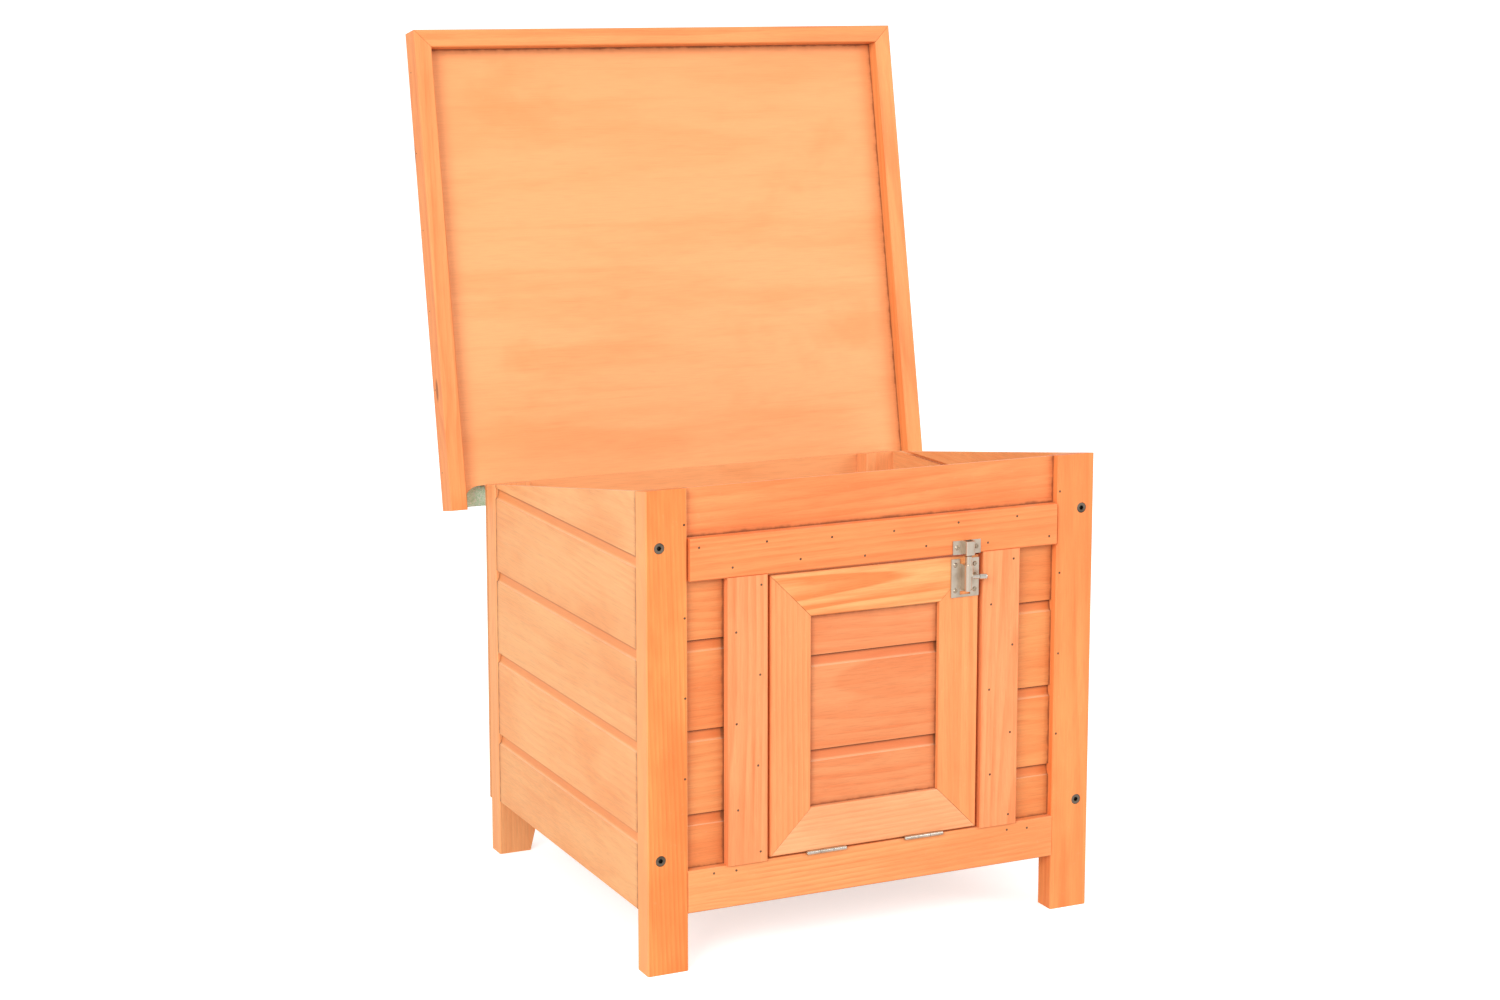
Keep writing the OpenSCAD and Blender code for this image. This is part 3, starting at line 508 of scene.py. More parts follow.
def open_part(left=None, right=None, below=None, above=None, front=None, rear=None):
    """Corners of the open part of a face, from the pieces round it; an open side lies far off."""
    low = [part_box(piece)[1][axis] if piece else -FAR
           for axis, piece in enumerate((left, front, below))]
    high = [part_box(piece)[0][axis] if piece else FAR
            for axis, piece in enumerate((right, rear, above))]
    return low, high


HEIGHTS = dict(below="front_bottom_rail", above="front_header")
WINDOWS = {
    "front_left_board": open_part(left="post_front_left", right="trim_left", **HEIGHTS),
    "front_right_board": open_part(left="trim_right", right="post_front_right", **HEIGHTS),
    "front_top_board": open_part(left="post_front_left", right="post_front_right",
                                 below="front_header"),
    "door_board": open_part(left="door_frame_left", right="door_frame_right",
                            below="door_frame_bottom", above="door_frame_top"),
    "left_wall_board": open_part(front="post_front_left", rear="post_rear_left"),
    "right_wall_board": open_part(front="post_front_right", rear="post_rear_right"),
}
print("open parts measured:", len(WINDOWS))

# %% [markdown]
# ## Families of boards
# The first words of a piece's name give its family, and each family has its own stain and its own
# figure: the direction of the grain, and how strongly rings, knots and blotches show.

# %% Stains and figures, family by family
ACROSS, REARWARD, UPWARD = (1, 0, 0), (0, 1, 0), (0, 0, 1)

LEAN = math.radians(10.7)
ALONG_LID = (0, math.sin(LEAN), math.cos(LEAN))

# Green, blue and, where it isn't the usual one, red of each family's pale early wood. The boards
# beside and in the door took more stain.
STAINS = {
    "post_front_left": (0.295, 0.078),
    "post_front_right": (0.285, 0.085),
    "post_rear": (0.385, 0.155),
    "front_bottom_rail": (0.340, 0.120),
    "rear_bottom_rail": (0.37, 0.14),
    "front_header": (0.272, 0.085),
    "front_top_board": (0.290, 0.096),
    "trim": (0.311, 0.120),
    "front_left_board": (0.275, 0.089, 0.74),
    "front_right_board": (0.282, 0.088, 0.75),
    "left_wall_board": (0.414, 0.170),
    "right_wall_board": (0.414, 0.170),
    "side_cleats": (0.38, 0.16),
    "floor_bearers": (0.38, 0.16),
    "door_frame_left": (0.305, 0.109),
    "door_frame_right": (0.319, 0.111),
    "door_frame_top": (0.384, 0.139),
    "door_frame_bottom": (0.398, 0.184),
    "door_board": (0.264, 0.100, 0.72),
    "lid_batten_left": (0.315, 0.103),
    "lid_batten_right": (0.326, 0.106),
    "lid_batten_front": (0.310, 0.100),
    "lid_panel": (0.382, 0.155),
    "back_panel": (0.40, 0.165),
    "floor_panel": (0.40, 0.165),
}

BOARD = dict(hollow=(1, 1), knots=0.08, waver=34, spacing=7)
BATTEN = dict(contrast=0.45, spacing=6.5, heart=(40, 80))
FIGURES = {
    "post_front_left": (UPWARD, dict(contrast=0.5, knots=0.25, blotches=1.2, flank=0.4)),
    "post_front_right": (UPWARD, dict(contrast=0.45, knots=0.2, blotches=1.0)),
    "post_rear": (UPWARD, dict(contrast=0.3, knots=0.15)),
    "front_bottom_rail": (ACROSS, dict(contrast=0.4, knots=0.2, blotches=0.8)),
    "rear_bottom_rail": (ACROSS, dict(contrast=0.4, knots=0.3)),
    "front_header": (ACROSS, dict(contrast=0.5, knots=0.0, spacing=3.4, blotches=0.6)),
    "front_top_board": (ACROSS, dict(hollow=(1, 1), contrast=0.4, knots=0.2, waver=20, spacing=6,
                                     blotches=0.9)),
    "trim": (UPWARD, dict(contrast=0.5, knots=0.3, blotches=0.6)),
    "front_left_board": (ACROSS, dict(BOARD, contrast=0.4, blotches=1.1)),
    "front_right_board": (ACROSS, dict(BOARD, contrast=0.4, blotches=1.1)),
    "left_wall_board": (REARWARD, dict(BOARD, hollow=(0, 1), contrast=0.26, blotches=0.8)),
    "right_wall_board": (REARWARD, dict(BOARD, hollow=(0, -1), contrast=0.25, blotches=0.6)),
    "side_cleats": (UPWARD, dict(contrast=0.5)),
    "floor_bearers": (REARWARD, dict(contrast=0.5)),
    "door_frame_left": (UPWARD, dict(contrast=0.4, knots=0.3)),
    "door_frame_right": (UPWARD, dict(contrast=0.4, knots=0.3)),
    "door_frame_top": (ACROSS, dict(contrast=1.0, knots=0.0, heart=(9, 14), spacing=5.5,
                                    blotches=0.2)),
    "door_frame_bottom": (ACROSS, dict(contrast=0.3, knots=0.2, blotches=0.6)),
    "door_board": (ACROSS, dict(BOARD, contrast=0.36, blotches=0.9, knots=0.0)),
    "lid_batten_left": (ALONG_LID, dict(BATTEN, contrast=0.5)),
    "lid_batten_right": (ALONG_LID, BATTEN),
    "lid_batten_front": (ACROSS, BATTEN),
}
print("families of boards:", len(FIGURES))

# %% [markdown]
# ## Finishing the wood
# Every wooden piece looks up its family and gets its material. A board with a hollow along its top
# edge also has to know where its outer face lies, and which way is inwards.

# %% Finish the wood
def finish_wood():
    """Gives each wooden piece its own material; returns how many there are."""
    count = 0
    for name in NODES:
        family = next((key for key in FIGURES if name.startswith(key)), None)
        if not family:
            continue
        along, figure = FIGURES[family]
        if "hollow" in figure:
            axis, inwards = figure["hollow"]
            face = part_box(name)[0 if inwards > 0 else 1][axis]
            figure = dict(figure, hollow=(axis, face, inwards))
        finish_node(name, wood("wood_" + name, middle_of(name), along, STAINS[family],
                               window=WINDOWS.get(family), **figure))
        count += 1
    return count


print("wooden pieces finished:", finish_wood())

# %% [markdown]
# ## The lid's own directions
# The lid stands open, leaning back a little. Everything that lies on it is easier to place in the
# lid's own directions: across it, along it from the hinge pin, and outwards from its upper face.
# The hinge joint gives the pin, and the pieces' own points, seen that way, give their sizes.

# %% Lid coordinates
PIN = Vector(JOINTS["lid_hinge"]["pos_m"])
ALONG = Vector(ALONG_LID)
LID_FACING = (0, math.cos(LEAN), -math.sin(LEAN))
OUTWARD = Vector(LID_FACING)


def on_lid(x, along, out):
    """The point at x across, that far along the lid from the pin and that far out from it."""
    return Vector((x, PIN.y, PIN.z)) + along * ALONG + out * OUTWARD


def lid_extent(node):
    """(lowest, highest) of a node across, along and out from the lid."""
    points = [vertex.co for vertex in NODES[node].data.vertices]
    seen = [(p.x, (p - PIN).dot(ALONG), (p - PIN).dot(OUTWARD)) for p in points]
    return [min(s[k] for s in seen) for k in range(3)], [max(s[k] for s in seen) for k in range(3)]


felt_low, felt_high = lid_extent("roof_felt")
print("felt in the lid's directions, mm:",
      [round(v / MM, 1) for v in felt_low], [round(v / MM, 1) for v in felt_high])

# %% [markdown]
# ## Plywood
# The lid's panel, the floor and the back are plywood. A rotary-cut veneer has no log to slice:
# its figure is broad, faint and drawn out along the grain, with cloudy patches where the stain
# soaked in. On the edges the plies show as fine stripes, so the material needs to know which way
# the sheet faces.

# %% Plywood materials
PLY_THICK = 2.4
GLUE_BROWN = (0.45, 0.17, 0.05, 1)


def lid_place(tree, place):
    """Object coordinates turned into the lid's own: across, along from the pin, inwards."""
    turn = Matrix((Vector(ACROSS), ALONG, -OUTWARD))
    return mapped(tree, place, -(turn @ PIN), turn)


def plywood(name, along, facing, stain, patches=1.0, window=None):
    """Veneer whose grain runs along one direction, on a sheet that faces another."""
    dice = random.Random(name)
    pale, dark = (0.86, *stain, 1), (0.74, stain[0] * 0.66, stain[1] * 0.5, 1)
    material, tree, shader = new_material(name)
    place = add(tree, "ShaderNodeTexCoord").outputs
    turn = Matrix((Vector(along), Vector(facing).cross(Vector(along)), Vector(facing)))
    sheet = mapped(tree, place["Object"], [dice.uniform(-3, 3) for _ in range(3)], turn)
    figure = stretched(tree, sheet, (1.1, 7.0, 1.0), 3.0, 4.0, 0.6)
    lines = stretched(tree, sheet, (2.2, 60.0, 1.0), 2.4, 4.0, 0.6)
    fibres = stretched(tree, sheet, (40.0, 1100.0, 1.0), 1.0, 3.0, 0.6)
    cloud = stretched(tree, sheet, (1.0, 1.3, 1.0), 6.5, 4.0, 0.62)
    color = mixed(tree, ramp(tree, figure, 0.42, 0.7, 0.0, 0.45), pale, dark)
    color = mixed(tree, ramp(tree, lines, 0.5, 0.8, 0.0, 0.3), color, dark)
    color = mixed(tree, ramp(tree, cloud, 0.55, 0.76, 0.0, 0.5 * patches), color, dark)
    color = shaded(tree, color, ramp(tree, fibres, 0.3, 0.6, 0.94, 1.03))
    if window:
        # Painted shade: darker towards the top of the lid, away from the pin, and painted shade in
        # the corners beside the battens.
        on_sheet = lid_place(tree, place["Object"])
        shade_up_lid = ramp(tree, part(tree, on_sheet, 1), 0.12, 0.44, 0.0, 0.3)
        color = with_corner_shade(tree, mixed(tree, shade_up_lid, color, dark), on_sheet, *window)

    # Edges: where the surface doesn't face the sheet's way, the plies lie in stripes.
    face = add(tree, "ShaderNodeVectorMath", {0: place["Normal"], 1: facing},
               operation="DOT_PRODUCT")
    edge = ramp(tree, sums(tree, "ABSOLUTE", face.outputs["Value"]), 0.3, 0.6, 1.0, 0.0)
    stripe = sums(tree, "FRACT", sums(tree, "DIVIDE", part(tree, sheet, 2), PLY_THICK * MM))
    ply = ramp(tree, sums(tree, "ABSOLUTE", sums(tree, "SUBTRACT", stripe, 0.5)), 0.2, 0.3)
    color = mixed(tree, edge, color, mixed(tree, ply, pale, GLUE_BROWN))
    rough = sums(tree, "ADD", 0.42, times(tree, fibres, 0.15))
    surface(tree, shader, color, rough, (0.06, 0.1), (fibres, 0.15, 0.0004), shine=0.3)
    return material


# The open part of the lid panel, between its battens, for its painted corner shade.
lid_window = ((lid_extent("lid_batten_left")[1][0], -FAR, -FAR),
              (lid_extent("lid_batten_right")[0][0], lid_extent("lid_batten_front")[0][1], FAR))
finish_node("lid_panel", plywood("ply_lid", ACROSS, LID_FACING, STAINS["lid_panel"],
                                 window=lid_window))
finish_node("back_panel", plywood("ply_back", ACROSS, REARWARD, STAINS["back_panel"], 0.8))
finish_node("floor_panel", plywood("ply_floor", ACROSS, UPWARD, STAINS["floor_panel"], 0.8))
print("plywood pieces finished: 3")

# %% [markdown]
# ## Plated steel
# The hinges and the barrel bolt are pressed from thin sheet and nickel-plated. Plating is bright
# but never even: it clouds slightly, and the press leaves fine lines. The screws that hold the
# posts are dark and duller, and the hollow in their heads is painted black as shade.

# %% Metal materials
PRESS_LINES = (500.0, 500.0, 5000.0)
RECESS_SHADE_BLACK = (0.02, 0.018, 0.015, 1)


def steel(name, bright, dull, low, high, brushed=0.5, metallic=1.0, deep=None):
    """Steel whose roughness wanders between low and high, and which is painted black past a depth,
    as shade in a hollow.
    """
    material, tree, shader = new_material(name)
    place = add(tree, "ShaderNodeTexCoord").outputs["Object"]
    cloud = noise(tree, place, 70.0, 3.0, 0.55)
    lines = stretched(tree, place, PRESS_LINES)
    color = mixed(tree, ramp(tree, cloud, 0.42, 0.68), (*bright, 1), (*dull, 1))
    if deep is not None:
        # Painted shade: black in the hollow of the head.
        hollow_head_shade = ramp(tree, part(tree, place, 1), deep, deep + 0.4 * MM)
        color = mixed(tree, hollow_head_shade, color, RECESS_SHADE_BLACK)
    wander = sums(tree, "ADD", ramp(tree, cloud, 0.35, 0.7, low, high),
                  times(tree, lines, 0.1 * brushed))
    surface(tree, shader, color, wander, (0.1, 0.05), (lines, 0.12 * brushed, 0.0002))
    shader.inputs["Metallic"].default_value = metallic
    return material


nickel = steel("nickel_plate", (0.62, 0.53, 0.43), (0.50, 0.41, 0.32), 0.26, 0.38)
bright_nickel = steel("bright_nickel", (0.66, 0.60, 0.52), (0.52, 0.45, 0.37), 0.14, 0.28, 0.2)
screw_steel = steel("screw_steel", (0.50, 0.41, 0.31), (0.34, 0.26, 0.18), 0.22, 0.4, 0.2)
post_steel = steel("post_screw_steel", (0.19, 0.155, 0.12), (0.10, 0.08, 0.06), 0.3, 0.5, 0.3, 0.9,
                   deep=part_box("post_bolts")[0].y + 0.25 * MM)

METAL = (
    (nickel, "lid_hinge_wall_leaves", "lid_hinge_leaves", "hinge_pins", "bolt_keeper",
     "bolt_plate", "bolt_rod"),
    (bright_nickel, "door_hinge_rail_leaves", "door_hinge_leaves", "lid_hinge_screws",
     "bolt_knob"),
    (screw_steel, "hutch_hinge_screws", "keeper_screws", "door_screws"),
    (post_steel, "post_bolts"),
)
for material, *names in METAL:
    for name in names:
        finish_node(name, material)
print("metal pieces finished:", sum(len(names) for _, *names in METAL))

# %% [markdown]
# ## Roofing felt
# Roofing felt is a limp bitumen sheet faced with coloured mineral grains. Nailed to a flat lid it
# never lies quite flat: it bellies a little between its nails and its free edge droops. A grid of
# points follows the lid, a formula lifts it by fractions of a millimetre, and Solidify gives the
# sheet its thickness. The loose grains come from Geometry Nodes in the next step.

# %% Felt sheet
FELT_COLUMNS, FELT_ROWS = 84, 76
FELT_THICK = felt_high[2] - felt_low[2]
FELT_SIZE = (felt_high[0] - felt_low[0], felt_high[1] - felt_low[1])
FELT_DEEP, FELT_LIGHT = (0.58, 0.84, 0.57, 1), (0.81, 0.95, 0.78, 1)
FELT_CLOUD, PALE_GRAIN = (0.44, 0.74, 0.48, 1), (0.90, 0.93, 0.82, 1)


def felt_lift(across, along):
    """How far the felt stands off the lid; both places run from 0 to 1."""
    belly = math.sin(across * 9.4 + 1.3 * math.sin(along * 5.1)) * math.sin(along * 7.7 + 0.6)
    free_edge = math.exp(-along * 26) * (1 + math.sin(across * 21)) * 0.5
    return (0.22 * (1 + belly) + 1.1 * free_edge) * MM


def felt_material():
    material, tree, shader = new_material("mineral_felt")
    place = add(tree, "ShaderNodeTexCoord").outputs["Object"]
    speck = add(tree, "ShaderNodeTexVoronoi", {"Vector": place, "Scale": 900.0}).outputs
    sort = add(tree, "ShaderNodeSeparateColor", {0: speck["Color"]}).outputs
    color = mixed(tree, ramp(tree, sort[0], 0.1, 0.9), FELT_DEEP, FELT_LIGHT)
    color = mixed(tree, ramp(tree, sort[1], 0.88, 0.97), color, PALE_GRAIN)
    cloud = ramp(tree, noise(tree, place, 9.0, 4.0, 0.6), 0.4, 0.75, 0.0, 0.2)
    color = mixed(tree, cloud, color, FELT_CLOUD)
    proud = sums(tree, "SUBTRACT", 1.0, speck["Distance"])
    surface(tree, shader, color, 0.85, (0.15, 0.1), (proud, 0.5, 0.0006))
    return material


def new_piece(name, mesh, material=None):
    piece = bpy.data.objects.new(name, mesh)
    bpy.context.scene.collection.objects.link(piece)
    if material:
        mesh.materials.append(material)
    return piece


def settled(piece, name):
    """The piece with its modifiers applied, as a plain mesh at the origin; the draft is removed."""
    bpy.context.view_layer.update()
    seen = piece.evaluated_get(bpy.context.evaluated_depsgraph_get())
    mesh = bpy.data.meshes.new_from_object(seen)
    bpy.data.objects.remove(piece)
    mesh.name = name
    return new_piece(name, mesh)


def felt_grid():
    mesh = bpy.data.meshes.new("felt_grid")
    points, faces = [], []
    for row in range(FELT_ROWS + 1):
        for column in range(FELT_COLUMNS + 1):
            u, v = column / FELT_COLUMNS, row / FELT_ROWS
            x = felt_low[0] + u * (felt_high[0] - felt_low[0])
            along = felt_low[1] + v * (felt_high[1] - felt_low[1])
            points.append(on_lid(x, along, felt_high[2] + felt_lift(u, v)))
    for row in range(FELT_ROWS):
        for column in range(FELT_COLUMNS):
            first = row * (FELT_COLUMNS + 1) + column
            faces.append((first, first + FELT_COLUMNS + 1, first + FELT_COLUMNS + 2, first + 1))
    mesh.from_pydata(points, [], faces)
    mesh.validate()
    return mesh


def face_along(mesh, direction):
    """Turns an open sheet's faces so that they look the given way."""
    if sum((face.normal.dot(direction) * face.area for face in mesh.polygons), 0.0) < 0:
        mesh.flip_normals()
    return mesh


def make_felt():
    draft = new_piece("felt_draft", face_along(felt_grid(), OUTWARD), felt_material())
    thick = draft.modifiers.new("thickness", "SOLIDIFY")
    thick.thickness = FELT_THICK
    thick.offset = -1
    felt = settled(draft, "felt_sheet")
    for face in felt.data.polygons:
        face.use_smooth = True
    return felt


felt = make_felt()
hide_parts("roof_felt")
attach(felt, "lid")
print("felt sheet:", [round(v, 3) for v in FELT_SIZE], "m,", len(felt.data.polygons), "faces")

# %% [markdown]
# ## Geometry Nodes helpers
# What repeats is made by Geometry Nodes: a tree takes a few points or faces and a few named
# sizes, and puts out every nail or grain. The result is turned into a plain mesh at once, because
# instances don't travel with the model. The modifier's inputs are set by their identifiers.

# %% Geometry Nodes helpers
def geometry_tree(name, inputs):
    """A geometry tree with a Geometry input and output, and the named extra inputs."""
    tree = bpy.data.node_groups.new(name, "GeometryNodeTree")
    tree.interface.new_socket(name="Geometry", in_out="INPUT", socket_type="NodeSocketGeometry")
    for label, (kind, default) in inputs.items():
        socket = tree.interface.new_socket(name=label, in_out="INPUT", socket_type=kind)
        if default is not None:
            socket.default_value = default
    tree.interface.new_socket(name="Geometry", in_out="OUTPUT", socket_type="NodeSocketGeometry")
    return tree, tree.nodes.new("NodeGroupInput").outputs, tree.nodes.new("NodeGroupOutput").inputs


def run_tree(tree, mesh, name, values):
    """Puts the tree on the mesh with these inputs, and returns the finished plain piece."""
    draft = new_piece(name + "_draft", mesh)
    modifier = draft.modifiers.new("tree", "NODES")
    modifier.node_group = tree
    for item in tree.interface.items_tree:
        if item.in_out == "INPUT" and item.name in values:
            modifier[item.identifier] = values[item.name]
    return settled(draft, name)


def any_vector(tree, least, most, seed):
    """A random vector for each point, between two."""
    node = add(tree, "FunctionNodeRandomValue", {"Seed": seed}, data_type="FLOAT_VECTOR")
    feed(tree, least, node.inputs[0])
    feed(tree, most, node.inputs[1])
    return node.outputs[0]


def stand(tree, points, shape, turn, size, material, result):
    """Stands the shape on every point, turned and sized, as real faces in one material."""
    placed = add(tree, "GeometryNodeInstanceOnPoints",
                 {"Points": points, "Instance": shape, "Rotation": turn, "Scale": size})
    real = add(tree, "GeometryNodeRealizeInstances", {"Geometry": placed.outputs[0]})
    dressed = add(tree, "GeometryNodeSetMaterial",
                  {"Geometry": real.outputs[0], "Material": material})
    feed(tree, dressed.outputs[0], result["Geometry"])


def joined(pieces, name):
    """Several pieces of one body as one mesh."""
    built = bmesh.new()
    materials = []
    for piece in pieces:
        mesh = piece.data.copy()
        for material in mesh.materials:
            if material not in materials:
                materials.append(material)
        places = [materials.index(material) for material in mesh.materials] or [0]
        for face in mesh.polygons:
            face.material_index = places[face.material_index]
        built.from_mesh(mesh)
        bpy.data.meshes.remove(mesh)
        bpy.data.objects.remove(piece)
    mesh = bpy.data.meshes.new(name)
    built.to_mesh(mesh)
    built.free()
    for material in materials:
        mesh.materials.append(material)
    return new_piece(name, mesh)


INT, MATERIAL = "NodeSocketInt", "NodeSocketMaterial"
print("geometry helpers ready")

# %% [markdown]
# ## Mineral grains
# The felt's facing sheds grains: some stand proud of the sheet. The tree scatters points over the
# felt's upper face and puts a small rough stone on each, turned and sized at random from a fixed
# seed. A stone has twenty faces, enough for something the size of a poppy seed.

# %% Grains on the felt
GRAINS_PER_M2 = 17000.0
GRAIN_RADIUS = 0.42


def grain_tree():
    inputs = {"Density": (FLOAT, 1000.0), "Grain Radius": (FLOAT, 0.0005), "Seed": (INT, 7),
              "Material": (MATERIAL, None)}
    tree, given, result = geometry_tree("Mineral grains", inputs)
    scatter = add(tree, "GeometryNodeDistributePointsOnFaces",
                  {"Mesh": given["Geometry"], "Density": given["Density"], "Seed": given["Seed"]})
    stone = add(tree, "GeometryNodeMeshIcoSphere",
                {"Radius": given["Grain Radius"], "Subdivisions": 1})
    turn = any_vector(tree, (0, 0, 0), (ONE_TURN, ONE_TURN, ONE_TURN), given["Seed"])
    size = any_vector(tree, (0.5, 0.5, 0.5), (1.3, 1.1, 1.0), given["Seed"])
    stand(tree, scatter.outputs["Points"], stone.outputs["Mesh"], turn, size,
          given["Material"], result)
    return tree


def make_grains():
    values = {"Density": GRAINS_PER_M2, "Grain Radius": GRAIN_RADIUS * MM, "Seed": 7,
              "Material": felt.data.materials[0]}
    return run_tree(grain_tree(), face_along(felt_grid(), OUTWARD), "felt_grains", values)


grains = make_grains()
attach(grains, "lid")
print("felt grains:", len(grains.data.polygons), "faces")

# %% [markdown]
# ## Nails
# The front is held by small wire nails, driven flush, and each shows as a dark spot. The back
# panel and the felt have flat clout nails along their edges. One tree serves all of them: it takes
# the points where the nails stand, the head's radius and rise and the way they point, and tips
# each head slightly.

# %% The nail tree
SHOULDER = 0.72
MOST_TIP = 0.12


def nail_tree():
    inputs = {"Head Radius": (FLOAT, 0.001), "Head Rise": (FLOAT, 0.0002),
              "Turn": (VECTOR, (0, 0, 0)), "Tip": (FLOAT, 0.1), "Seed": (INT, 3),
              "Material": (MATERIAL, None)}
    tree, given, result = geometry_tree("Nail heads", inputs)
    shoulder = times(tree, given["Head Radius"], SHOULDER)
    depth = times(tree, given["Head Rise"], 2.0)
    head = add(tree, "GeometryNodeMeshCone",
               {"Vertices": 12, "Radius Top": shoulder, "Radius Bottom": given["Head Radius"],
                "Depth": depth})
    drop = add(tree, "ShaderNodeCombineXYZ", {2: times(tree, given["Head Rise"], -1.0)})
    low_head = add(tree, "GeometryNodeTransform",
                   {"Geometry": head.outputs["Mesh"], "Translation": drop.outputs[0]})
    most = add(tree, "ShaderNodeCombineXYZ", {axis: given["Tip"] for axis in range(3)}).outputs[0]
    tipped = any_vector(tree, scaled(tree, most, (-1, -1, -1)), most, given["Seed"])
    turn = vectors(tree, "ADD", given["Turn"], tipped)
    stand(tree, given["Geometry"], low_head.outputs[0], turn, (1, 1, 1),
          given["Material"], result)
    return tree


NAILS = nail_tree()
FORWARD_TURN = (math.radians(90), 0, 0)
REAR_TURN = (math.radians(-90), 0, 0)
LEFT_TURN = (0, math.radians(-90), 0)
RIGHT_TURN = (0, math.radians(90), 0)
LID_OUT_TURN = (-math.radians(90) - LEAN, 0, 0)


def nails(points, turn, radius, rise, material, seed):
    """A nail at every point; radius and rise of its head in millimetres."""
    mesh = bpy.data.meshes.new("nail_points")
    mesh.from_pydata(points, [], [])
    values = {"Head Radius": radius * MM, "Head Rise": rise * MM, "Turn": turn, "Tip": MOST_TIP,
              "Seed": seed, "Material": material}
    return run_tree(NAILS, mesh, "nails", values)


print("nail tree:", len(NAILS.nodes), "nodes")

# %% [markdown]
# ## Where the nails go
# A carpenter nails by rule: in pairs, a set distance from each end and edge, and never quite
# level. So the rules are written down, and dice with a fixed seed make each nail miss its mark by
# a millimetre or two. Every place is worked out from the boards' own boxes.

# %% Nail places
STRIPS = (("front_header", 9 * MM, 31 * MM, False), ("trim_left", 8 * MM, 36 * MM, True),
          ("trim_right", 8 * MM, 36 * MM, True))
RAIL_REACHES = (24, 46)
POST_SHARES = (0.40, 0.57, 0.74, 0.92)


def astray(dice, amount=1.8):
    return dice.uniform(-amount, amount) * MM


def zigzag(low, high, inset, pitch, dice, upright=False):
    """Nail places down the middle band of a board, swinging from edge to edge; (x, z) pairs."""
    start, end = (low.z, high.z) if upright else (low.x, high.x)
    near, far = (low.x, high.x) if upright else (low.z, high.z)
    count = max(2, round((end - start - 2 * inset) / pitch) + 1)
    places = []
    for k in range(count):
        run = start + inset + k * (end - start - 2 * inset) / (count - 1) + astray(dice)
        side = (near + inset if k % 2 else far - inset) + astray(dice)
        places.append((side, run) if upright else (run, side))
    return places


def front_nails():
    """In zigzags on the header and trims, two at each end of the rail and four down each post."""
    dice = random.Random("front nails")
    points = []
    for name, inset, pitch, upright in STRIPS:
        low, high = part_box(name)
        points += [(x, low.y, z) for x, z in zigzag(low, high, inset, pitch, dice, upright)]
    rail_low, rail_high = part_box("front_bottom_rail")
    for end, step in [(rail_low.x, 1), (rail_high.x, -1)]:
        for reach in RAIL_REACHES:
            points.append((end + step * reach * MM + astray(dice), rail_low.y,
                           rail_high.z - 6 * MM + astray(dice)))
    for name in ("post_front_left", "post_front_right"):
        low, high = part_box(name)
        inner = high.x - 3 * MM if low.x < 0 else low.x + 3 * MM
        for share in POST_SHARES:
            points.append((inner + astray(dice, 0.8), low.y, high.z * share + astray(dice, 3)))
    return points


def back_nails():
    """Along the edges of the back panel, into the posts and the rail."""
    dice = random.Random("back nails")
    low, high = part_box("back_panel")
    side, foot, ends = 14 * MM, 12 * MM, 30 * MM
    points = []
    for k in range(8):
        z = low.z + foot + k * (high.z - low.z - ends) / 7
        points += [(low.x + side + astray(dice), high.y, z + astray(dice)),
                   (high.x - side + astray(dice), high.y, z + astray(dice))]
    for k in range(1, 8):
        points.append((low.x + k * (high.x - low.x) / 8 + astray(dice), high.y, low.z + foot))
    return points


def felt_nails():
    """Along the felt's top edge and down both sides."""
    dice = random.Random("felt nails")
    points = []
    (wide, long), inset = FELT_SIZE, 7 * MM
    sides = ((felt_low[0] + inset, inset / wide), (felt_high[0] - inset, 1 - inset / wide))
    for k in range(10):
        share = (k + 0.5) / 10
        x = felt_low[0] + share * wide + astray(dice)
        lift = felt_high[2] + felt_lift(share, 1.0)
        points.append(on_lid(x, felt_high[1] - 9 * MM, lift))
        down = 0.05 + 0.95 * share
        for side, u in sides:
            lift = felt_high[2] + felt_lift(u, down)
            points.append(on_lid(side + astray(dice), felt_low[1] + down * long, lift))
    return points


def batten_nails():
    """On the outer side of each of the lid's side battens, left and right."""
    dice = random.Random("batten nails")
    low, high = lid_extent("lid_batten_left")
    outer_sides = (low[0], lid_extent("lid_batten_right")[1][0])
    out = (low[2] + high[2]) / 2 + 6 * MM
    sides = ([], [])
    for k in range(6):
        along = low[1] + (k + 0.5) / 6 * (high[1] - low[1])
        for points, x in zip(sides, outer_sides):
            points.append(on_lid(x, along + astray(dice), out + astray(dice)))
    return sides


print("nail places:", len(front_nails()), "front,", len(back_nails()), "back,",
      len(felt_nails()), "felt")

# %% [markdown]
# ## Driving the nails
# All the nails of one body end up in one mesh, so those of the lid turn with it.

# %% Drive the nails
wire_head = steel("wire_nail_head", (0.17, 0.09, 0.05), (0.08, 0.04, 0.022), 0.4, 0.65, 0.2, 0.6)
clout_head = steel("clout_nail_head", (0.66, 0.65, 0.62), (0.48, 0.47, 0.44), 0.35, 0.6, 0.2)
left_nails, right_nails = batten_nails()
hutch_nails = joined([
    nails(front_nails(), FORWARD_TURN, 1.2, 0.12, wire_head, 3),
    nails(back_nails(), REAR_TURN, 1.4, 0.3, clout_head, 5),
], "hutch_nails")
lid_nails = joined([
    nails(felt_nails(), LID_OUT_TURN, 3.2, 0.6, clout_head, 11),
    nails(left_nails, LEFT_TURN, 0.85, 0.12, wire_head, 13),
    nails(right_nails, RIGHT_TURN, 0.85, 0.12, wire_head, 17),
], "lid_nails")
for piece, body in ((hutch_nails, "hutch"), (lid_nails, "lid")):
    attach(piece, body)
print("nail heads:", len(hutch_nails.data.polygons), "and", len(lid_nails.data.polygons), "faces")

# %% [markdown]
# ## Floor
# The floor is plain pale paper. It glows a little for the camera only, so that it stays white in
# the picture without throwing more light up at the wood.

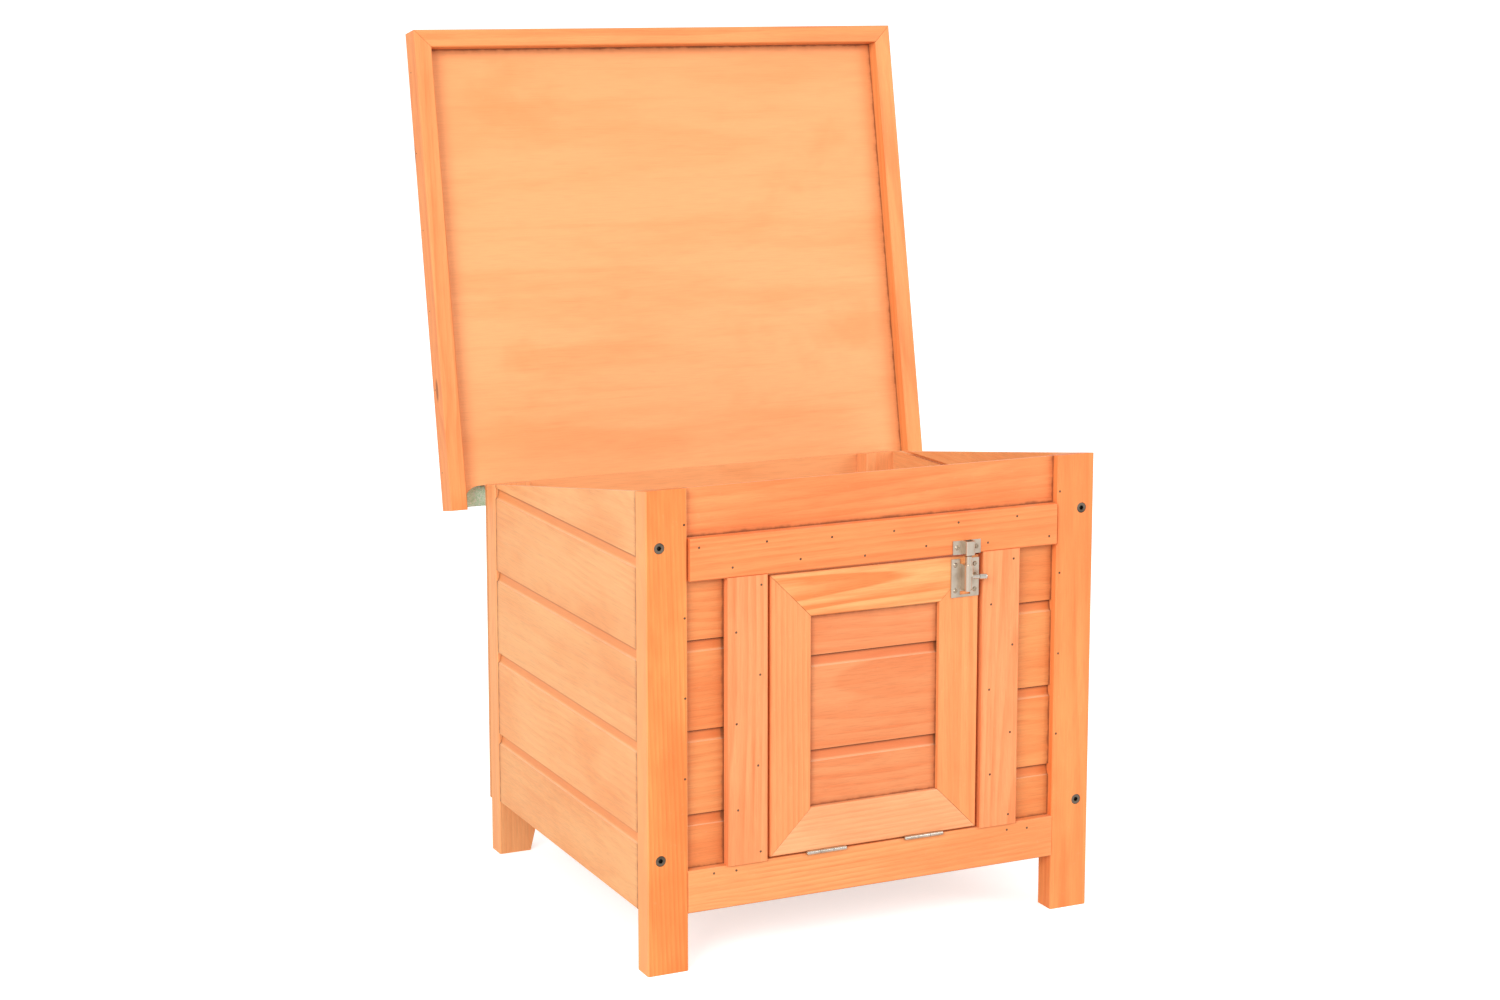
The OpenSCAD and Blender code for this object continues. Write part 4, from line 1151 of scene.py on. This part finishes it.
# %% Floor
FLOOR_HALF = 400.0
PAPER = {"Base Color": (0.78, 0.78, 0.78, 1), "Roughness": 0.9, "Specular IOR Level": 0.1,
         "Emission Strength": 0.6}


def make_floor():
    mesh = bpy.data.meshes.new("studio_floor")
    square = [(x * FLOOR_HALF, y * FLOOR_HALF, cad_box[0][2])
              for x, y in ((-1, -1), (1, -1), (1, 1), (-1, 1))]
    mesh.from_pydata(square, [], [(0, 1, 2, 3)])
    material, tree, shader = new_material("studio_paper")
    for socket, value in PAPER.items():
        shader.inputs[socket].default_value = value
    seen = add(tree, "ShaderNodeLightPath").outputs["Is Camera Ray"]
    feed(tree, mixed(tree, seen, (0, 0, 0, 1), (1, 1, 1, 1)), shader.inputs["Emission Color"])
    floor = new_piece("studio_floor", mesh, material)
    return floor


floor = make_floor()
print("floor at", round(floor.data.vertices[0].co.z, 4))

# %% [markdown]
# ## Light
# Pale wood on a pale floor needs soft light from all round, or its shadows turn to mud. A bright
# even sky does most of the work, one large lamp high on the left of the camera gives the boards
# their edges, and a weaker one fills in from the right.

# %% Light
SKY, SKY_SEEN = 0.8, 1.05


def lamp(name, place, aim, size, power):
    light = bpy.data.lights.new(name, "AREA")
    light.size = size
    light.energy = power
    holder = bpy.data.objects.new(name, light)
    holder.location = place
    holder.rotation_euler = (Vector(aim) - Vector(place)).to_track_quat("-Z", "Y").to_euler()
    bpy.context.scene.collection.objects.link(holder)


def make_sky():
    """An even white sky, a little brighter where the camera sees it."""
    world = bpy.data.worlds.new("studio_sky")
    world.use_nodes = True
    tree = world.node_tree
    background = tree.nodes["Background"]
    background.inputs[0].default_value = (1, 1, 1, 1)
    seen = add(tree, "ShaderNodeLightPath").outputs["Is Camera Ray"]
    feed(tree, ramp(tree, seen, 0.0, 1.0, SKY, SKY_SEEN), background.inputs[1])
    bpy.context.scene.world = world


make_sky()
lamp("key_light", (-6.2, -5.6, 4.0), (0, 0, 0.3), 4.0, 540)
lamp("fill_light", (5.5, -5.0, 3.5), (0, 0, 0.3), 4.0, 210)
bpy.context.scene.view_settings.view_transform = "Standard"
bpy.context.scene.view_settings.look = "None"
print("sky and two lamps")
